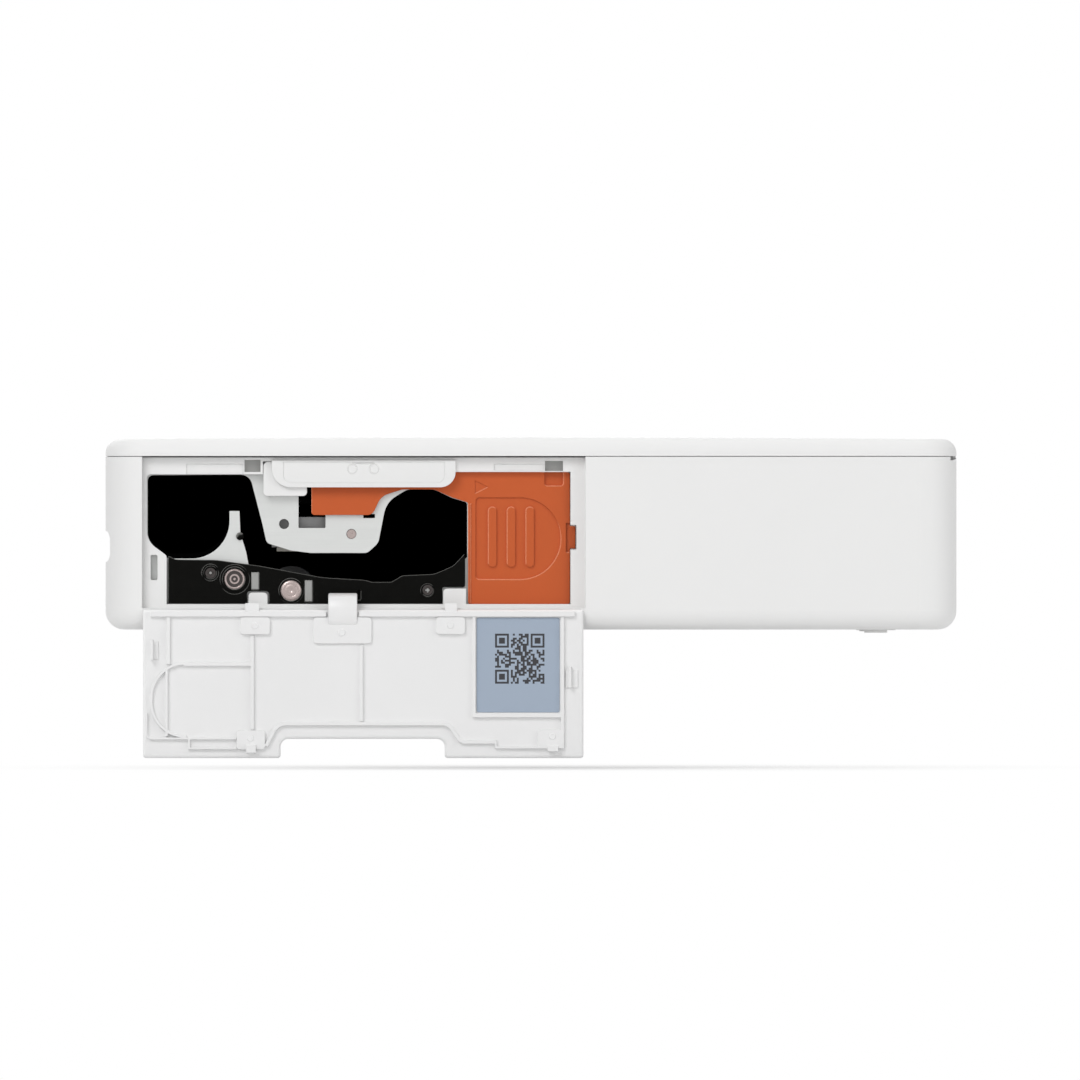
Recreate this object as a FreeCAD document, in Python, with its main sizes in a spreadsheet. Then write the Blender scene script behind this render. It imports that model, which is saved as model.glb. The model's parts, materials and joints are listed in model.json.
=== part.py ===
import FreeCAD, Part
import math
import os
import re

from FreeCAD import Rotation, Vector

# Pocket dye-sublimation photo printer, 145.8 x 102.2 x 32.9 mm, with its cassette cover hanging open.
# Frame: +X to the hinged rear end, -X to the print mouth, -Y to the cassette side, +Z up.
# The origin is the middle of the flat underside. Lengths are in millimetres.

doc = FreeCAD.newDocument("pocket_photo_printer")
sheet = doc.addObject("Spreadsheet::Sheet", "Sizes")

SIZES = {
    # case and lid
    "case_length": 145.8,
    "case_width": 102.2,
    "case_height": 32.9,
    "pixel_length": 0.170926,
    "plan_corner": 6.5,
    "base_round": 3.2,
    "lid_round": 2.4,
    "crown_rise": 0.3,
    "wall": 1.6,
    "lid_top_wall": 1.5,
    "moving_gap": 0.3,
    "fit_gap": 0.05,
    "seat_gap": 0.1,
    "overrun": 1.0,
    "hairline": 0.0001,
    # feet and underside screws
    "foot_radius": 1.97,
    "foot_pad_radius": 3.4,
    "foot_drop": 0.55,
    "foot_pad_drop": 0.12,
    "foot_pocket": 0.5,
    "foot_inset": 11.1,
    "foot_end_inset": 13.78,
    "screw_head_radius": 1.6,
    "screw_head_depth": 0.9,
    "screw_shank_radius": 0.8,
    "screw_length": 5.0,
    "screw_inset": 12.0,
    # print mouth in the front end
    "groove_inset": 3.3,
    "mouth_groove_depth": 0.8,
    "mouth_margin": 0.5,
    "mouth_slot_inset": 1.2,
    # cassette bay, levels measured inwards from the side face
    "bay_depth": 2.2,
    "bay_frame_thickness": 1.2,
    "bay_rim": 1.3,
    "bay_strip_thickness": 0.6,
    "panel_depth": 1.5,
    "panel_thickness": 0.7,
    "panel_rim": 0.15,
    "frame_plate_depth": 2.8,
    "frame_plate_thickness": 1.7,
    "side_plate_depth": 4.6,
    "side_plate_thickness": 0.8,
    "far_plate_inset": 4.6,
    "deck_drop": 4.7,
    "shoulder_drop": 1.6,
    "plate_length": 84.9,
    # cassette tunnel
    "tunnel_wall": 0.7,
    "tunnel_far_gap": 5.4,
    "tunnel_end_wall": 1.0,
    # paper path
    "roller_shaft_radius": 1.88,
    "platen_radius": 4.2,
    "platen_overhang": 1.5,
    "capstan_radius": 3.05,
    "capstan_shortfall": 4.5,
    "bush_radius": 2.55,
    "platen_bush_radius": 2.12,
    "pinch_radius": 1.3,
    "pinch_shaft_radius": 0.6,
    "pinch_shortfall": 2.5,
    "guide_thickness": 1.0,
    "guide_step": 0.4,
    "floor_guide_level": 7.4,
    "paper_inset": 14.6,
    "turn_radius": 7.4,
    "turn_wall": 0.8,
    "turn_inset": 15.9,
    "deck_thickness": 1.0,
    "deck_rail": 2.6,
    "deck_rail_thickness": 1.0,
    "deck_front_inset": 32.9,
    "deck_rear_inset": 6.9,
    "pick_radius": 3.9,
    "pick_shaft_radius": 1.5,
    "pick_tyre_half": 10.0,
    "pick_drop": 2.7,
    # print head
    "head_sink_height": 5.2,
    "head_strip_thickness": 0.7,
    "head_lift": 2.5,
    "head_overhang": 3.5,
    "head_arm_thickness": 1.2,
    "head_pin_radius": 0.8,
    "head_beam_height": 2.6,
    "beam_drop": 3.3,
    "head_spring_radius": 1.4,
    "head_spring_bore": 0.9,
    # gears
    "gear_module": 0.5,
    "gear_layer": 1.0,
    "gear_gap": 0.2,
    "gear_axle_radius": 0.8,
    "gear_bore_wall": 0.8,
    "motor_radius": 6.0,
    "motor_length": 7.3,
    "motor_shaft_radius": 0.75,
    "spindle_radius": 2.2,
    "spindle_length": 9.0,
    "spindle_neck_radius": 1.4,
    # power and boards
    "battery_tuck": 10.4,
    "battery_gap": 3.7,
    "battery_side_gap": 2.5,
    "battery_height": 5.5,
    "board_level": 12.0,
    "board_thickness": 1.2,
    "board_gap": 4.0,
    "board_rear_inset": 19.9,
    "board_inset": 7.1,
    "post_radius": 1.8,
    "post_inset": 9.6,
    "chip_height": 1.6,
    "port_half_width": 4.5,
    "port_height": 3.2,
    "port_level": 3.4,
    "port_depth": 7.4,
    "port_shell": 0.35,
    "port_board_length": 14.0,
    "button_radius": 3.2,
    "button_flange": 0.7,
    "button_flange_thickness": 0.8,
    "button_drop": 7.68,
    "button_travel": 0.4,
    "button_stand_out": 0.2,
    "button_stem_radius": 1.0,
    "light_radius": 0.8,
    "light_run": 7.68,
    # lid hinge
    "hinge_inset": 0.9,
    "hinge_rise": 0.7,
    "ear_radius": 0.85,
    "ear_half_width": 1.5,
    "ear_inset": 13.1,
    "hinge_pin_radius": 0.5,
    "hinge_pin_reach": 1.8,
    "liner_thickness": 0.8,
    "liner_inset": 3.0,
    # cassette cover
    "cover_plate": 1.2,
    "cover_rib": 0.75,
    "cover_hinge_out": 0.1,
    "cover_edge_round": 0.6,
    "label_thickness": 0.12,
    "hook_reach": 0.85,
    "tab_reach": 1.9,
    "rear_tab_reach": 1.3,
    "clip_reach": 2.0,
    "strap_radius": 2.1,
    "strap_thickness": 0.5,
    "strap_tail": 2.6,
    "clamp_height": 0.55,
    # eject lever
    "lever_depth": 3.5,
    "lever_thickness": 0.85,
    "lever_tab_thickness": 0.3,
    "lever_hollow": 0.35,
    "lever_rib": 0.45,
    "lever_spring_radius": 0.35,
}

# Height of the seam between the tub and its lid, as a share of the whole
LID_SEAM_SHARE = 0.899696

# Places and half widths that follow from the sizes
WORKED_OUT = {
    "lid_seam": f"{LID_SEAM_SHARE} * case_height",
    "plate_top": "lid_seam - deck_drop",
    "plate_shoulder": "lid_seam - shoulder_drop",
    "pick_level": "plate_top - pick_drop",
    "head_beam_level": "plate_top - beam_drop",
    "paper_half": "case_width / 2 - paper_inset",
    "platen_half": "paper_half + platen_overhang",
    "capstan_half": "paper_half - capstan_shortfall",
    "pinch_half": "paper_half - pinch_shortfall",
    "head_half": "paper_half + head_overhang",
    "battery_half": "paper_half - battery_side_gap",
    "mouth_slot_half": "paper_half + mouth_margin",
    "mouth_groove_half": "case_width / 2 - groove_inset",
    "board_half": "case_width / 2 - board_inset",
    "post_across": "case_width / 2 - post_inset",
    "foot_across": "case_width / 2 - foot_inset",
    "foot_along": "case_length / 2 - foot_end_inset",
    "ear_across": "case_width / 2 - ear_inset",
    "turn_x": "case_length / 2 - turn_inset",
    "deck_front": "deck_front_inset - case_length / 2",
    "deck_rear": "case_length / 2 - deck_rear_inset",
    "plate_reach": "plate_length - case_length / 2",
    "board_front": "plate_reach + board_gap",
    "board_rear": "case_length / 2 - board_rear_inset",
    "port_front": "case_length / 2 - wall - seat_gap - port_board_length",
    "battery_front": "plate_reach - battery_tuck",
    "battery_rear": "port_front - battery_gap",
}

for row, (name, value) in enumerate(SIZES.items(), 1):
    sheet.set(f"A{row}", name)
    sheet.set(f"B{row}", str(value))
    sheet.setAlias(f"B{row}", name)
doc.recompute()


def in_sizes(text):
    """An expression with each size as its cell of the sheet, and what is worked out written in full."""
    def swap(word):
        if word[0] in WORKED_OUT:
            return f"({in_sizes(WORKED_OUT[word[0]])})"
        return f"Sizes.{word[0]}" if word[0] in SIZES else word[0]
    return re.sub(r"[a-z_]+", swap, f"{text}")


worked = doc.addObject("App::FeaturePython", "WorkedOut")
for name, text in WORKED_OUT.items():
    worked.addProperty("App::PropertyFloat", name)
    worked.setExpression(name, in_sizes(text))
doc.recompute()


class SheetSizes:
    """The sizes as numbers, for outlines that are worked out point by point."""

    def __getattr__(self, name):
        return float(getattr(worked, name) if name in WORKED_OUT else sheet.get(name))


S = SheetSizes()

# Gear teeth, and the pressure angle and tooth heights in modules of a stubby tooth
PINION_TEETH = 10
REDUCTION_TEETH = 48
REDUCTION_PINION_TEETH = 12
ROLLER_TEETH = 16
IDLER_TEETH = 14
FLANK_STEPS = 6
PRESSURE_ANGLE = math.radians(25)
TOOTH_TOP_SHARE = 0.8
TOOTH_ROOT_SHARE = 1.08
TOOTH_THINNING_SHARE = 0.12

# The photograph's pixel places of the case's front end, its top and its underside
LEFT_PX = 104.5
TOP_PX = 437.5
UNDER_PX = 629.5


def place_x(px):
    """Place along the case of a column of the photograph, measured from the front end."""
    return (px - LEFT_PX) * S.pixel_length - S.case_length / 2


def place_z(py):
    """Height over the underside of a row of the photograph."""
    return (UNDER_PX - py) * S.case_height / (UNDER_PX - TOP_PX)


def run(px):
    """Length of a run of pixels."""
    return px * S.pixel_length


# Sketch and solid helpers


def bind(item, target, text):
    """Bind a property to sizes of the sheet, named in an expression."""
    item.setExpression(target, in_sizes(text))


def block(name, x, y, z):
    """Box between two levels along each axis."""
    box = doc.addObject("Part::Box", name)
    for side, axis, (low, high) in zip(("Length", "Width", "Height"), "xyz", (x, y, z)):
        bind(box, side, f"({high}) - ({low})")
        bind(box, f".Placement.Base.{axis}", f"{low}")
    return box


TURNS = {
    "x": Rotation(Vector(0, 1, 0), 90),
    "y": Rotation(Vector(1, 0, 0), -90),
    "z": Rotation(),
}


def rod(name, axis, radius, low, high, at):
    """Cylinder along an axis between two levels, at the two other coordinates."""
    pin = doc.addObject("Part::Cylinder", name)
    bind(pin, "Radius", radius)
    bind(pin, "Height", f"({high}) - ({low})")
    pin.Placement = FreeCAD.Placement(Vector(), TURNS[axis])
    others = [other for other in "xyz" if other != axis]
    bind(pin, f".Placement.Base.{axis}", low)
    for other, place in zip(others, at):
        bind(pin, f".Placement.Base.{other}", place)
    return pin


def fuse(name, pieces):
    joined = doc.addObject("Part::MultiFuse", name)
    joined.Shapes = pieces
    return joined


def cut(name, base, tools):
    """Base with every tool cut out of it."""
    tool = tools[0] if len(tools) == 1 else fuse(f"{name}_cuts", tools)
    rest = doc.addObject("Part::Cut", name)
    rest.Base = base
    rest.Tool = tool
    return rest


def group(name, pieces):
    """Separate solids in one node."""
    together = doc.addObject("Part::Compound", name)
    together.Links = pieces
    return together


def rounded(points):
    """Closed outline through (across, up, corner radius) points: straight runs joined by tangent arcs."""
    spots = [Vector(across, up, 0) for across, up, _ in points]
    ends, arcs = [], []
    for i, (_, _, radius) in enumerate(points):
        here, after = spots[i], spots[(i + 1) % len(spots)]
        into = (here - spots[i - 1]).normalize()
        out = (after - here).normalize()
        turn = into.getAngle(out)
        if not radius:
            ends.append((here, here))
            continue
        reach = radius * math.tan(turn / 2)
        start, stop = here - into * reach, here + out * reach
        centre = here + (out - into).normalize() * (radius / math.cos(turn / 2))
        first, last = (start, stop) if into.cross(out).z > 0 else (stop, start)
        angles = [math.atan2(p.y - centre.y, p.x - centre.x) for p in (first, last)]
        if angles[1] < angles[0]:
            angles[1] += 2 * math.pi
        arcs.append(Part.ArcOfCircle(Part.Circle(centre, Vector(0, 0, 1), radius), *angles))
        ends.append((start, stop))
    lines = []
    for i, (_, stop) in enumerate(ends):
        start = ends[(i + 1) % len(ends)][0]
        if stop.distanceToPoint(start) > S.hairline:
            lines.append(Part.LineSegment(stop, start))
    return lines + arcs


def outline(points_px):
    """The same from photograph places, each (column, row) or (column, row, corner radius in pixels)."""
    return rounded(placed(points_px))


def rectangle(left, low, right, high, radius=0.0):
    return rounded([(left, low, radius), (right, low, radius), (right, high, radius), (left, high, radius)])


def window(left, top, right, bottom, radius=0):
    """Rectangle between photograph places."""
    return outline([(left, bottom, radius), (right, bottom, radius), (right, top, radius),
                    (left, top, radius)])


def disc(x, z, radius):
    return [Part.Circle(Vector(x, z, 0), Vector(0, 0, 1), radius)]


def disc_px(px, py, radius):
    """Circle at a photograph place, its radius in pixels."""
    return disc(place_x(px), place_z(py), run(radius))


def placed(points_px):
    """Path through photograph places as (across, up, corner radius) points."""
    full = [(*point, 0)[:3] for point in points_px]
    return [(place_x(px), place_z(py), run(radius)) for px, py, radius in full]


# Smallest corner radius of a band, as a share of its thickness
TIGHTEST_SHARE = 0.25


def band(path, thickness):
    """Outline of a strip of even thickness to the left of a path of (across, up, radius) points."""
    spots = [Vector(across, up, 0) for across, up, _ in path]
    side = []
    path = [(*path[0][:2], 0), *path[1:-1], (*path[-1][:2], 0)]
    for i, here in enumerate(spots):
        into = (here - spots[i - 1]).normalize() if i else None
        out = (spots[i + 1] - here).normalize() if i + 1 < len(spots) else None
        into, out = into or out, out or into
        normal = Vector(-into.y - out.y, into.x + out.x, 0).normalize()
        reach = thickness / math.cos(into.getAngle(out) / 2)
        bend = into.cross(out).z
        radius = path[i][2]
        if radius:
            radius = radius + thickness if bend < 0 else max(radius - thickness, TIGHTEST_SHARE * thickness)
        moved = here + normal * reach
        side.append((moved.x, moved.y, radius))
    return rounded([*path, *reversed(side)])


class Moulding:
    """A body built from sketches on its own origin planes."""

    def __init__(self, name):
        self.body = doc.addObject("PartDesign::Body", name)
        self.planes = {plane.Role: plane for plane in self.body.Origin.OriginFeatures}

    def sketch(self, plane, level, wires):
        count = len(self.body.Group)
        drawing = self.body.newObject("Sketcher::SketchObject", f"{self.body.Name}_sketch_{count}")
        drawing.AttachmentSupport = [(self.planes[f"{plane}_Plane"], "")]
        drawing.MapMode = "FlatFace"
        bind(drawing, ".AttachmentOffset.Base.z", f"-({level})" if plane == "XZ" else level)
        for wire in wires:
            drawing.addGeometry(wire)
        return drawing

    def pad(self, plane, level, depth, wires):
        """Solid from a level: an XZ sketch grows towards the viewer, the others along their axis."""
        grown = self.body.newObject("PartDesign::Pad", f"{self.body.Name}_pad_{len(self.body.Group)}")
        grown.Profile = self.sketch(plane, level, wires)
        bind(grown, "Length", depth)
        return self

    def pocket(self, plane, level, depth, wires):
        """Cut from a level in the direction in which a pad would grow, checked to take material away."""
        doc.recompute()
        before = self.body.Shape.Volume
        taken = self.body.newObject("PartDesign::Pocket", f"{self.body.Name}_cut_{len(self.body.Group)}")
        taken.Profile = self.sketch(plane, level, wires)
        taken.Reversed = True
        bind(taken, "Length", depth)
        doc.recompute()
        assert self.body.Shape.Volume < before, f"{taken.Name} cuts nothing"
        return self

    def fillet(self, radius, chosen):
        """Round every edge that the test chooses."""
        doc.recompute()
        tip = self.body.Tip
        edges = [f"Edge{i}" for i, edge in enumerate(tip.Shape.Edges, 1) if chosen(edge)]
        assert edges, f"{self.body.Name} has no edge to round"
        softened = self.body.newObject("PartDesign::Fillet",
                                       f"{self.body.Name}_round_{len(self.body.Group)}")
        softened.Base = (tip, edges)
        bind(softened, "Radius", radius)
        return self


parts = {}


def keep(name, item):
    """Name a finished sub-part."""
    item = item.body if isinstance(item, Moulding) else item
    item.Label = name
    parts[name] = item
    return item


def plan(inset):
    """The case's rounded plan, drawn in by an inset."""
    half_length = S.case_length / 2 - inset
    half_width = S.case_width / 2 - inset
    corner = max(S.plan_corner - inset, S.wall)
    return rectangle(-half_length, -half_width, half_length, half_width, corner)


# Levels along Y, from the cassette side's face inwards
SIDE = "-case_width / 2"
WALL_BACK = f"{SIDE} + wall"
BAY_FRONT = f"{SIDE} + bay_depth"
BAY_BACK = f"{BAY_FRONT} + bay_frame_thickness"
FRAME_PLATE_BACK = f"{SIDE} + frame_plate_depth + frame_plate_thickness"
NEAR_PLATE_BACK = f"{SIDE} + side_plate_depth + side_plate_thickness"
FAR_PLATE_FRONT = "case_width / 2 - far_plate_inset - side_plate_thickness"
FAR_PLATE_BACK = "case_width / 2 - far_plate_inset"

# Shaft places seen from the cassette side
capstan_x, capstan_z = place_x(234), place_z(579)
platen_x, platen_z = place_x(290.5), place_z(590.5)
pinch_x, pinch_z = place_x(236.5), place_z(551.5)
take_up_x, take_up_z = place_x(426), place_z(532)
supply_x, supply_z = place_x(188), place_z(520)
head_pivot_x, head_pivot_z = place_x(351), place_z(534)
pick_x = place_x(346.5)
BAY_LEFT_PX, BAY_RIGHT_PX, BAY_SILL_PX = 141.6, 585.5, 608
HOOK_PX = ((245, 259), (445, 457))
HOOK_ROOM_PX, HOOK_ROOM_SILL_PX = 3, 618
MOUTH_PX = (531, 562)
MOUTH_CORNER_SHARE = 0.33
PLATE_LEFT_PX, PLATE_STEP_PX = 143, 291

# Lid hinge axis, along Y
LID_AXIS_X = "case_length / 2 - hinge_inset"
LID_AXIS_Z = "lid_seam + hinge_rise"
# Cassette cover axis, along X: the outer lower edge of the bay
COVER_AXIS_Y = f"{SIDE} - cover_hinge_out"
cover_axis_y = -S.case_width / 2 - S.cover_hinge_out
cover_axis_z = place_z(BAY_SILL_PX)
COVER_BACK = f"{COVER_AXIS_Y} - cover_hinge_out"


def lower_case():
    """Open-topped shell with the cassette bay, print mouth, hinge ears, screw bosses and posts."""
    shell = Moulding("case_shell")
    shell.pad("XY", "0", "lid_seam", [plan(0)])
    shell.fillet("base_round", lambda edge: edge.BoundBox.ZMax < S.wall)
    shell.pocket("XY", "wall", "lid_seam - wall + overrun", [plan(S.wall)])
    bay = rectangle(place_x(BAY_LEFT_PX), cover_axis_z, place_x(BAY_RIGHT_PX), S.lid_seam + S.overrun)
    shell.pocket("XZ", f"{WALL_BACK} + overrun", "wall + 2 * overrun", [bay])
    notches = [
        rectangle(place_x(left - HOOK_ROOM_PX), place_z(HOOK_ROOM_SILL_PX), place_x(right + HOOK_ROOM_PX),
                  cover_axis_z + S.overrun)
        for left, right in HOOK_PX
    ]
    shell.pocket("XZ", f"{WALL_BACK} + overrun", "wall + 2 * overrun", notches)
    high, low = (place_z(py) for py in MOUTH_PX)
    groove = rectangle(-S.mouth_groove_half, low, S.mouth_groove_half, high,
                       (high - low) * MOUTH_CORNER_SHARE)
    shell.pocket("YZ", "-case_length / 2 - overrun", "mouth_groove_depth + overrun", [groove])
    half, inset = S.mouth_slot_half, S.mouth_slot_inset
    slot = rectangle(-half, low + inset, half, high - inset, inset / 2)
    shell.pocket("YZ", "-case_length / 2 - overrun", "wall + 2 * overrun", [slot])
    heel = rod(
        "lid_heel_groove", "y", "sqrt(hinge_inset^2 + hinge_rise^2) + moving_gap / 2",
        "-case_width / 2 + plan_corner / 2 - moving_gap", "case_width / 2 - plan_corner / 2 + moving_gap",
        (LID_AXIS_X, LID_AXIS_Z)
    )
    open_shell = cut("case_open_shell", shell.body, [heel])

    standing = []
    for side in (-1, 1):
        middle = f"{side} * ear_across"
        across = (f"{middle} - ear_half_width", f"{middle} + ear_half_width")
        stem = block(
            f"ear_stem_{side + 1}", (f"{LID_AXIS_X} - ear_radius", f"{LID_AXIS_X} + ear_radius"), across,
            ("lid_seam - base_round", LID_AXIS_Z)
        )
        standing += [stem, rod(f"ear_{side + 1}", "y", "ear_radius", *across, (LID_AXIS_X, LID_AXIS_Z))]
    for n, (x, y, top) in enumerate(post_places()):
        standing.append(rod(f"post_{n}", "z", "post_radius", "wall - fit_gap", top, (x, y)))
    for n, (x, y) in enumerate(screw_places()):
        standing.append(rod(f"screw_boss_{n}", "z", "post_radius", "wall - fit_gap",
                            "screw_length + seat_gap", (x, y)))
    body = fuse("case_body", [open_shell, *standing])

    tools = [
        rod(f"foot_pocket_{n}", "z", "foot_pad_radius + fit_gap", "-overrun", "foot_pocket", at)
        for n, at in enumerate(foot_places())
    ]
    for n, (x, y) in enumerate(screw_places()):
        seat = "screw_head_radius + seat_gap"
        tools.append(rod(f"screw_seat_{n}", "z", seat, "-overrun", "screw_head_depth", (x, y)))
        tools.append(rod(f"screw_hole_{n}", "z", "screw_shank_radius + fit_gap", "0",
                         "screw_length + overrun", (x, y)))
    tools.append(rod("ear_bore", "y", "hinge_pin_radius", "-case_width / 2", "case_width / 2",
                     (LID_AXIS_X, LID_AXIS_Z)))
    tools.append(block(
        "port_window", ("case_length / 2 - wall - overrun", "case_length / 2 + overrun"),
        ("-port_half_width - seat_gap", "port_half_width + seat_gap"),
        ("port_level - seat_gap", "port_level + port_height + seat_gap")
    ))
    far = ("case_width / 2 - wall - overrun", "case_width / 2 + overrun")
    tools.append(rod("button_window", "y", "button_radius + seat_gap", *far, button_place()))
    tools.append(rod("light_window", "y", "light_radius + fit_gap", *far, light_place()))
    return cut("lower_case", body, tools)


def post_places():
    """Posts on the case floor, each with its top: two for the deck, four for the board."""
    board_ends = ("board_front + 2 * post_radius", "board_rear - 2 * post_radius")
    sides = ("-post_across", "post_across")
    return [("deck_rear - post_radius", y, "plate_top") for y in sides] + [
        (x, y, "board_level") for x in board_ends for y in sides
    ]


def foot_places():
    """Where the four feet stand."""
    return [(f"{a} * foot_along", f"{b} * foot_across") for a in (1, -1) for b in (-1, 1)]


def screw_places():
    """Where the four underside screws stand."""
    return [
        (f"{a} * (case_length / 2 - screw_inset)", f"{b} * (case_width / 2 - 2 * screw_inset)")
        for a in (-1, 1)
        for b in (-1, 1)
    ]


def button_place():
    return ("-case_length / 2 + 2 * plan_corner", "lid_seam - button_drop")


def light_place():
    return ("-case_length / 2 + 2 * plan_corner + light_run", "lid_seam - button_drop")


def feet():
    """Four moulded feet, each a thin pad with a round foot under it."""
    pieces = []
    for n, at in enumerate(foot_places()):
        pad = rod(f"foot_pad_{n}", "z", "foot_pad_radius", "-foot_pad_drop", "foot_pocket", at)
        tip = rod(f"foot_tip_{n}", "z", "foot_radius", "-foot_drop", "0", at)
        pieces.append(fuse(f"foot_{n}", [pad, tip]))
    return group("feet", pieces)


SLOT_SHARE = 0.25
SLOT_HALF = f"{SLOT_SHARE} * screw_shank_radius"


def case_screws():
    """Four countersunk-in screws, with a cross slot in each head."""
    pieces = []
    for n, (x, y) in enumerate(screw_places()):
        head = rod(f"screw_head_{n}", "z", "screw_head_radius", "seat_gap", "screw_head_depth", (x, y))
        shank = rod(f"screw_shank_{n}", "z", "screw_shank_radius", "seat_gap", "screw_length", (x, y))
        slots = [
            block(
                f"screw_slot_{n}_{k}", (f"{x} - {a}", f"{x} + {a}"), (f"{y} - {b}", f"{y} + {b}"),
                ("-overrun", "screw_head_depth / 2")
            )
            for k, (a,
                    b) in enumerate((("screw_shank_radius", SLOT_HALF), (SLOT_HALF, "screw_shank_radius")))
        ]
        pieces.append(cut(f"screw_{n}", fuse(f"screw_blank_{n}", [head, shank]), slots))
    return group("case_screws", pieces)


# Outlines round the cassette bay, in photograph places, with corner radii in pixels

bay_opening_px = [
    (146.2, 474.4, 4), (146.2, 541, 20), (166, 555.5, 4), (166, 604), (248, 604), (248, 592.5, 4),
    (267, 592.5, 4), (267, 604), (443, 604), (443, 588.5, 4), (466, 588.5), (466, 604),
    (570.5, 604), (570.5, 549.5), (576.5, 549.5, 1), (576.5, 525, 1), (570.5, 525), (570.5, 472),
    (446, 472),
    (446, 481), (307.2, 481), (307.2, 461.5), (262.5, 461.5), (262.5, 474.4),
]
bay_windows_px = [(150, 555, 156.8, 580, 1.5), (244, 460, 260, 472), (545, 461, 563, 471)]
bay_recesses_px = [(186, 464, 243, 474), (494, 464, 544, 470.5)]
BAY_STRIP_PX = (564, 474, 603)
SPRING_STOP_PX = (435, 475, 440, 481)
catch_plates_px = [(242, 459.5, 262, 473.5), (543.5, 459.5, 565, 471.3)]
plate_opening_px = [
    (146.8, 475.2, 6), (249, 474.6, 12), (262, 525), (266, 543, 6), (290, 550.5), (310, 553),
    (367, 553, 8), (378, 543, 12), (386, 502, 26), (407, 489.5, 12), (434, 489.5, 14), (452, 498),
    (467, 502.5, 4),
    (467, 557), (458, 566), (440, 578), (400, 583), (366, 584.5), (320, 582), (280, 575), (249, 570),
    (245.5, 552, 0), (239.8, 533), (238.8, 511), (228.8, 511), (228.8, 558.5, 38),
    (166, 558.5, 10), (146.8, 540, 18),
]
plate_windows_px = [(298, 485, 325, 528, 1), (363, 514, 374.5, 518)]
PLATE_HOLE_PX = (283.5, 524, 5)
WEDGE_PIN_PX = (238.2, 536, 2.6)
panel_px = [(271.3, 460.5), (271.3, 487.4, 19), (455.5, 487.4, 15.5), (455.5, 460.5)]
panel_rim_px = [(283, 462), (283, 483, 8), (444.5, 483, 8), (444.5, 462)]
LABEL_BLOCK_PX = (263, 462, 306.5, 496, 4)
frame_top_px = [
    (168, 556), (175, 559.5, 10), (216, 560, 60), (260, 566, 120), (322, 577.5, 120), (366, 580, 30),
    (371, 582, 4), (391, 582, 6), (402, 575.5, 8), (434, 574, 20), (453, 566, 20), (464, 554),
]
frame_foot_px = [
    (465, 560), (465, 587, 2), (442, 587, 2), (442, 603.5), (268.5, 603.5),
    (268.5, 591, 3), (246.5, 591, 3), (246.5, 603.5), (167.5, 603.5), (167.5, 557),
]
clip_windows_px = [(250.5, 572, 258.5, 589.5), (304, 580, 312, 601.5)]
FRAME_SLOT_PX = (357, 590, 360.5, 600, 1)
CLIP_GAP_PX = 0.3
FRAME_SCREWS_PX = ((210, 573), (427.5, 590))
FRAME_SCREW_HEAD_PX = 5.2
frame_ring_px = (9, 8)
lever_px = [
    (467.8, 604.5, 3), (570, 604.5, 3), (570, 472, 3), (452, 472), (444, 482, 6), (311, 484, 2),
    (311, 515, 3),
    (372, 515, 8), (381, 496, 16), (402, 489.5, 10), (434, 489.5, 14), (452, 497.5), (467.8, 502.5, 2),
]
LEVER_RECESS_PX = (544.5, 465, 563.5, 486, 3)
lever_grip_px = [(475.5, 579.5, 4), (561, 579.5, 41), (561, 497.5, 41), (475.5, 497.5, 4)]
lever_arrow_px = [(475, 480.5), (475, 493.5), (487.8, 487)]
lever_ribs_px = [(488.2, 507, 496.4, 567, 4), (507, 507, 515.2, 567, 4), (525.8, 507, 534, 567, 4)]
LEVER_TAB_PX = (562.5, 526, 575.5, 548.5, 1)
LEVER_TAB_STEP_PX = (566, 522.8, 575.5, 552.4, 1)
LEVER_LUG_PX = (340, 475, 345, 485)
LEVER_SPRING_PX = 478.5
FLOOR_GUIDE_PX = 440


def bay_frame():
    """White surround of the bay, held against the case wall by its rim, with the catches' windows."""
    left, right = place_x(BAY_LEFT_PX) - S.bay_rim, place_x(BAY_RIGHT_PX) + S.bay_rim
    low, sill, high = cover_axis_z - S.bay_rim / 2, cover_axis_z, S.lid_seam - S.seat_gap
    holes = [outline(bay_opening_px), *[window(*place) for place in bay_windows_px]]
    frame = Moulding("bay_frame")
    frame.pad("XZ", BAY_BACK, "bay_frame_thickness", [rectangle(left, low, right, high), *holes])
    frame.pocket("XZ", f"{BAY_FRONT} + 2 * panel_rim", "overrun",
                 [window(*place) for place in bay_recesses_px])
    strip_left, strip_top, strip_foot = BAY_STRIP_PX
    strip = rectangle(place_x(strip_left), place_z(strip_foot), right + S.overrun, place_z(strip_top))
    frame.pocket("XZ", f"{BAY_BACK} + overrun", "bay_frame_thickness - bay_strip_thickness + overrun",
                 [strip])
    inner = place_x(BAY_RIGHT_PX)
    rim = rounded([
        (place_x(BAY_LEFT_PX), sill, 0), (inner, sill, 0), (inner, high, 0),
        (right, high, 0), (right, low, 0), (place_x(BAY_LEFT_PX), low, 0),
    ])
    frame.pad("XZ", BAY_FRONT, "bay_depth - wall", [rim])
    frame.pad("XZ", f"{BAY_BACK} + lever_thickness", "lever_thickness", [window(*SPRING_STOP_PX)])
    return frame


def catch_plates():
    """Two thin plates behind the catches' windows."""
    plates = []
    depth = (BAY_BACK, f"{BAY_BACK} + 2 * panel_rim")
    for n, (left, top, right, bottom) in enumerate(catch_plates_px):
        x, z = (place_x(left), place_x(right)), (place_z(bottom), place_z(top))
        plates.append(block(f"catch_plate_{n}", x, depth, z))
    return group("catch_plates", plates)


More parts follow.
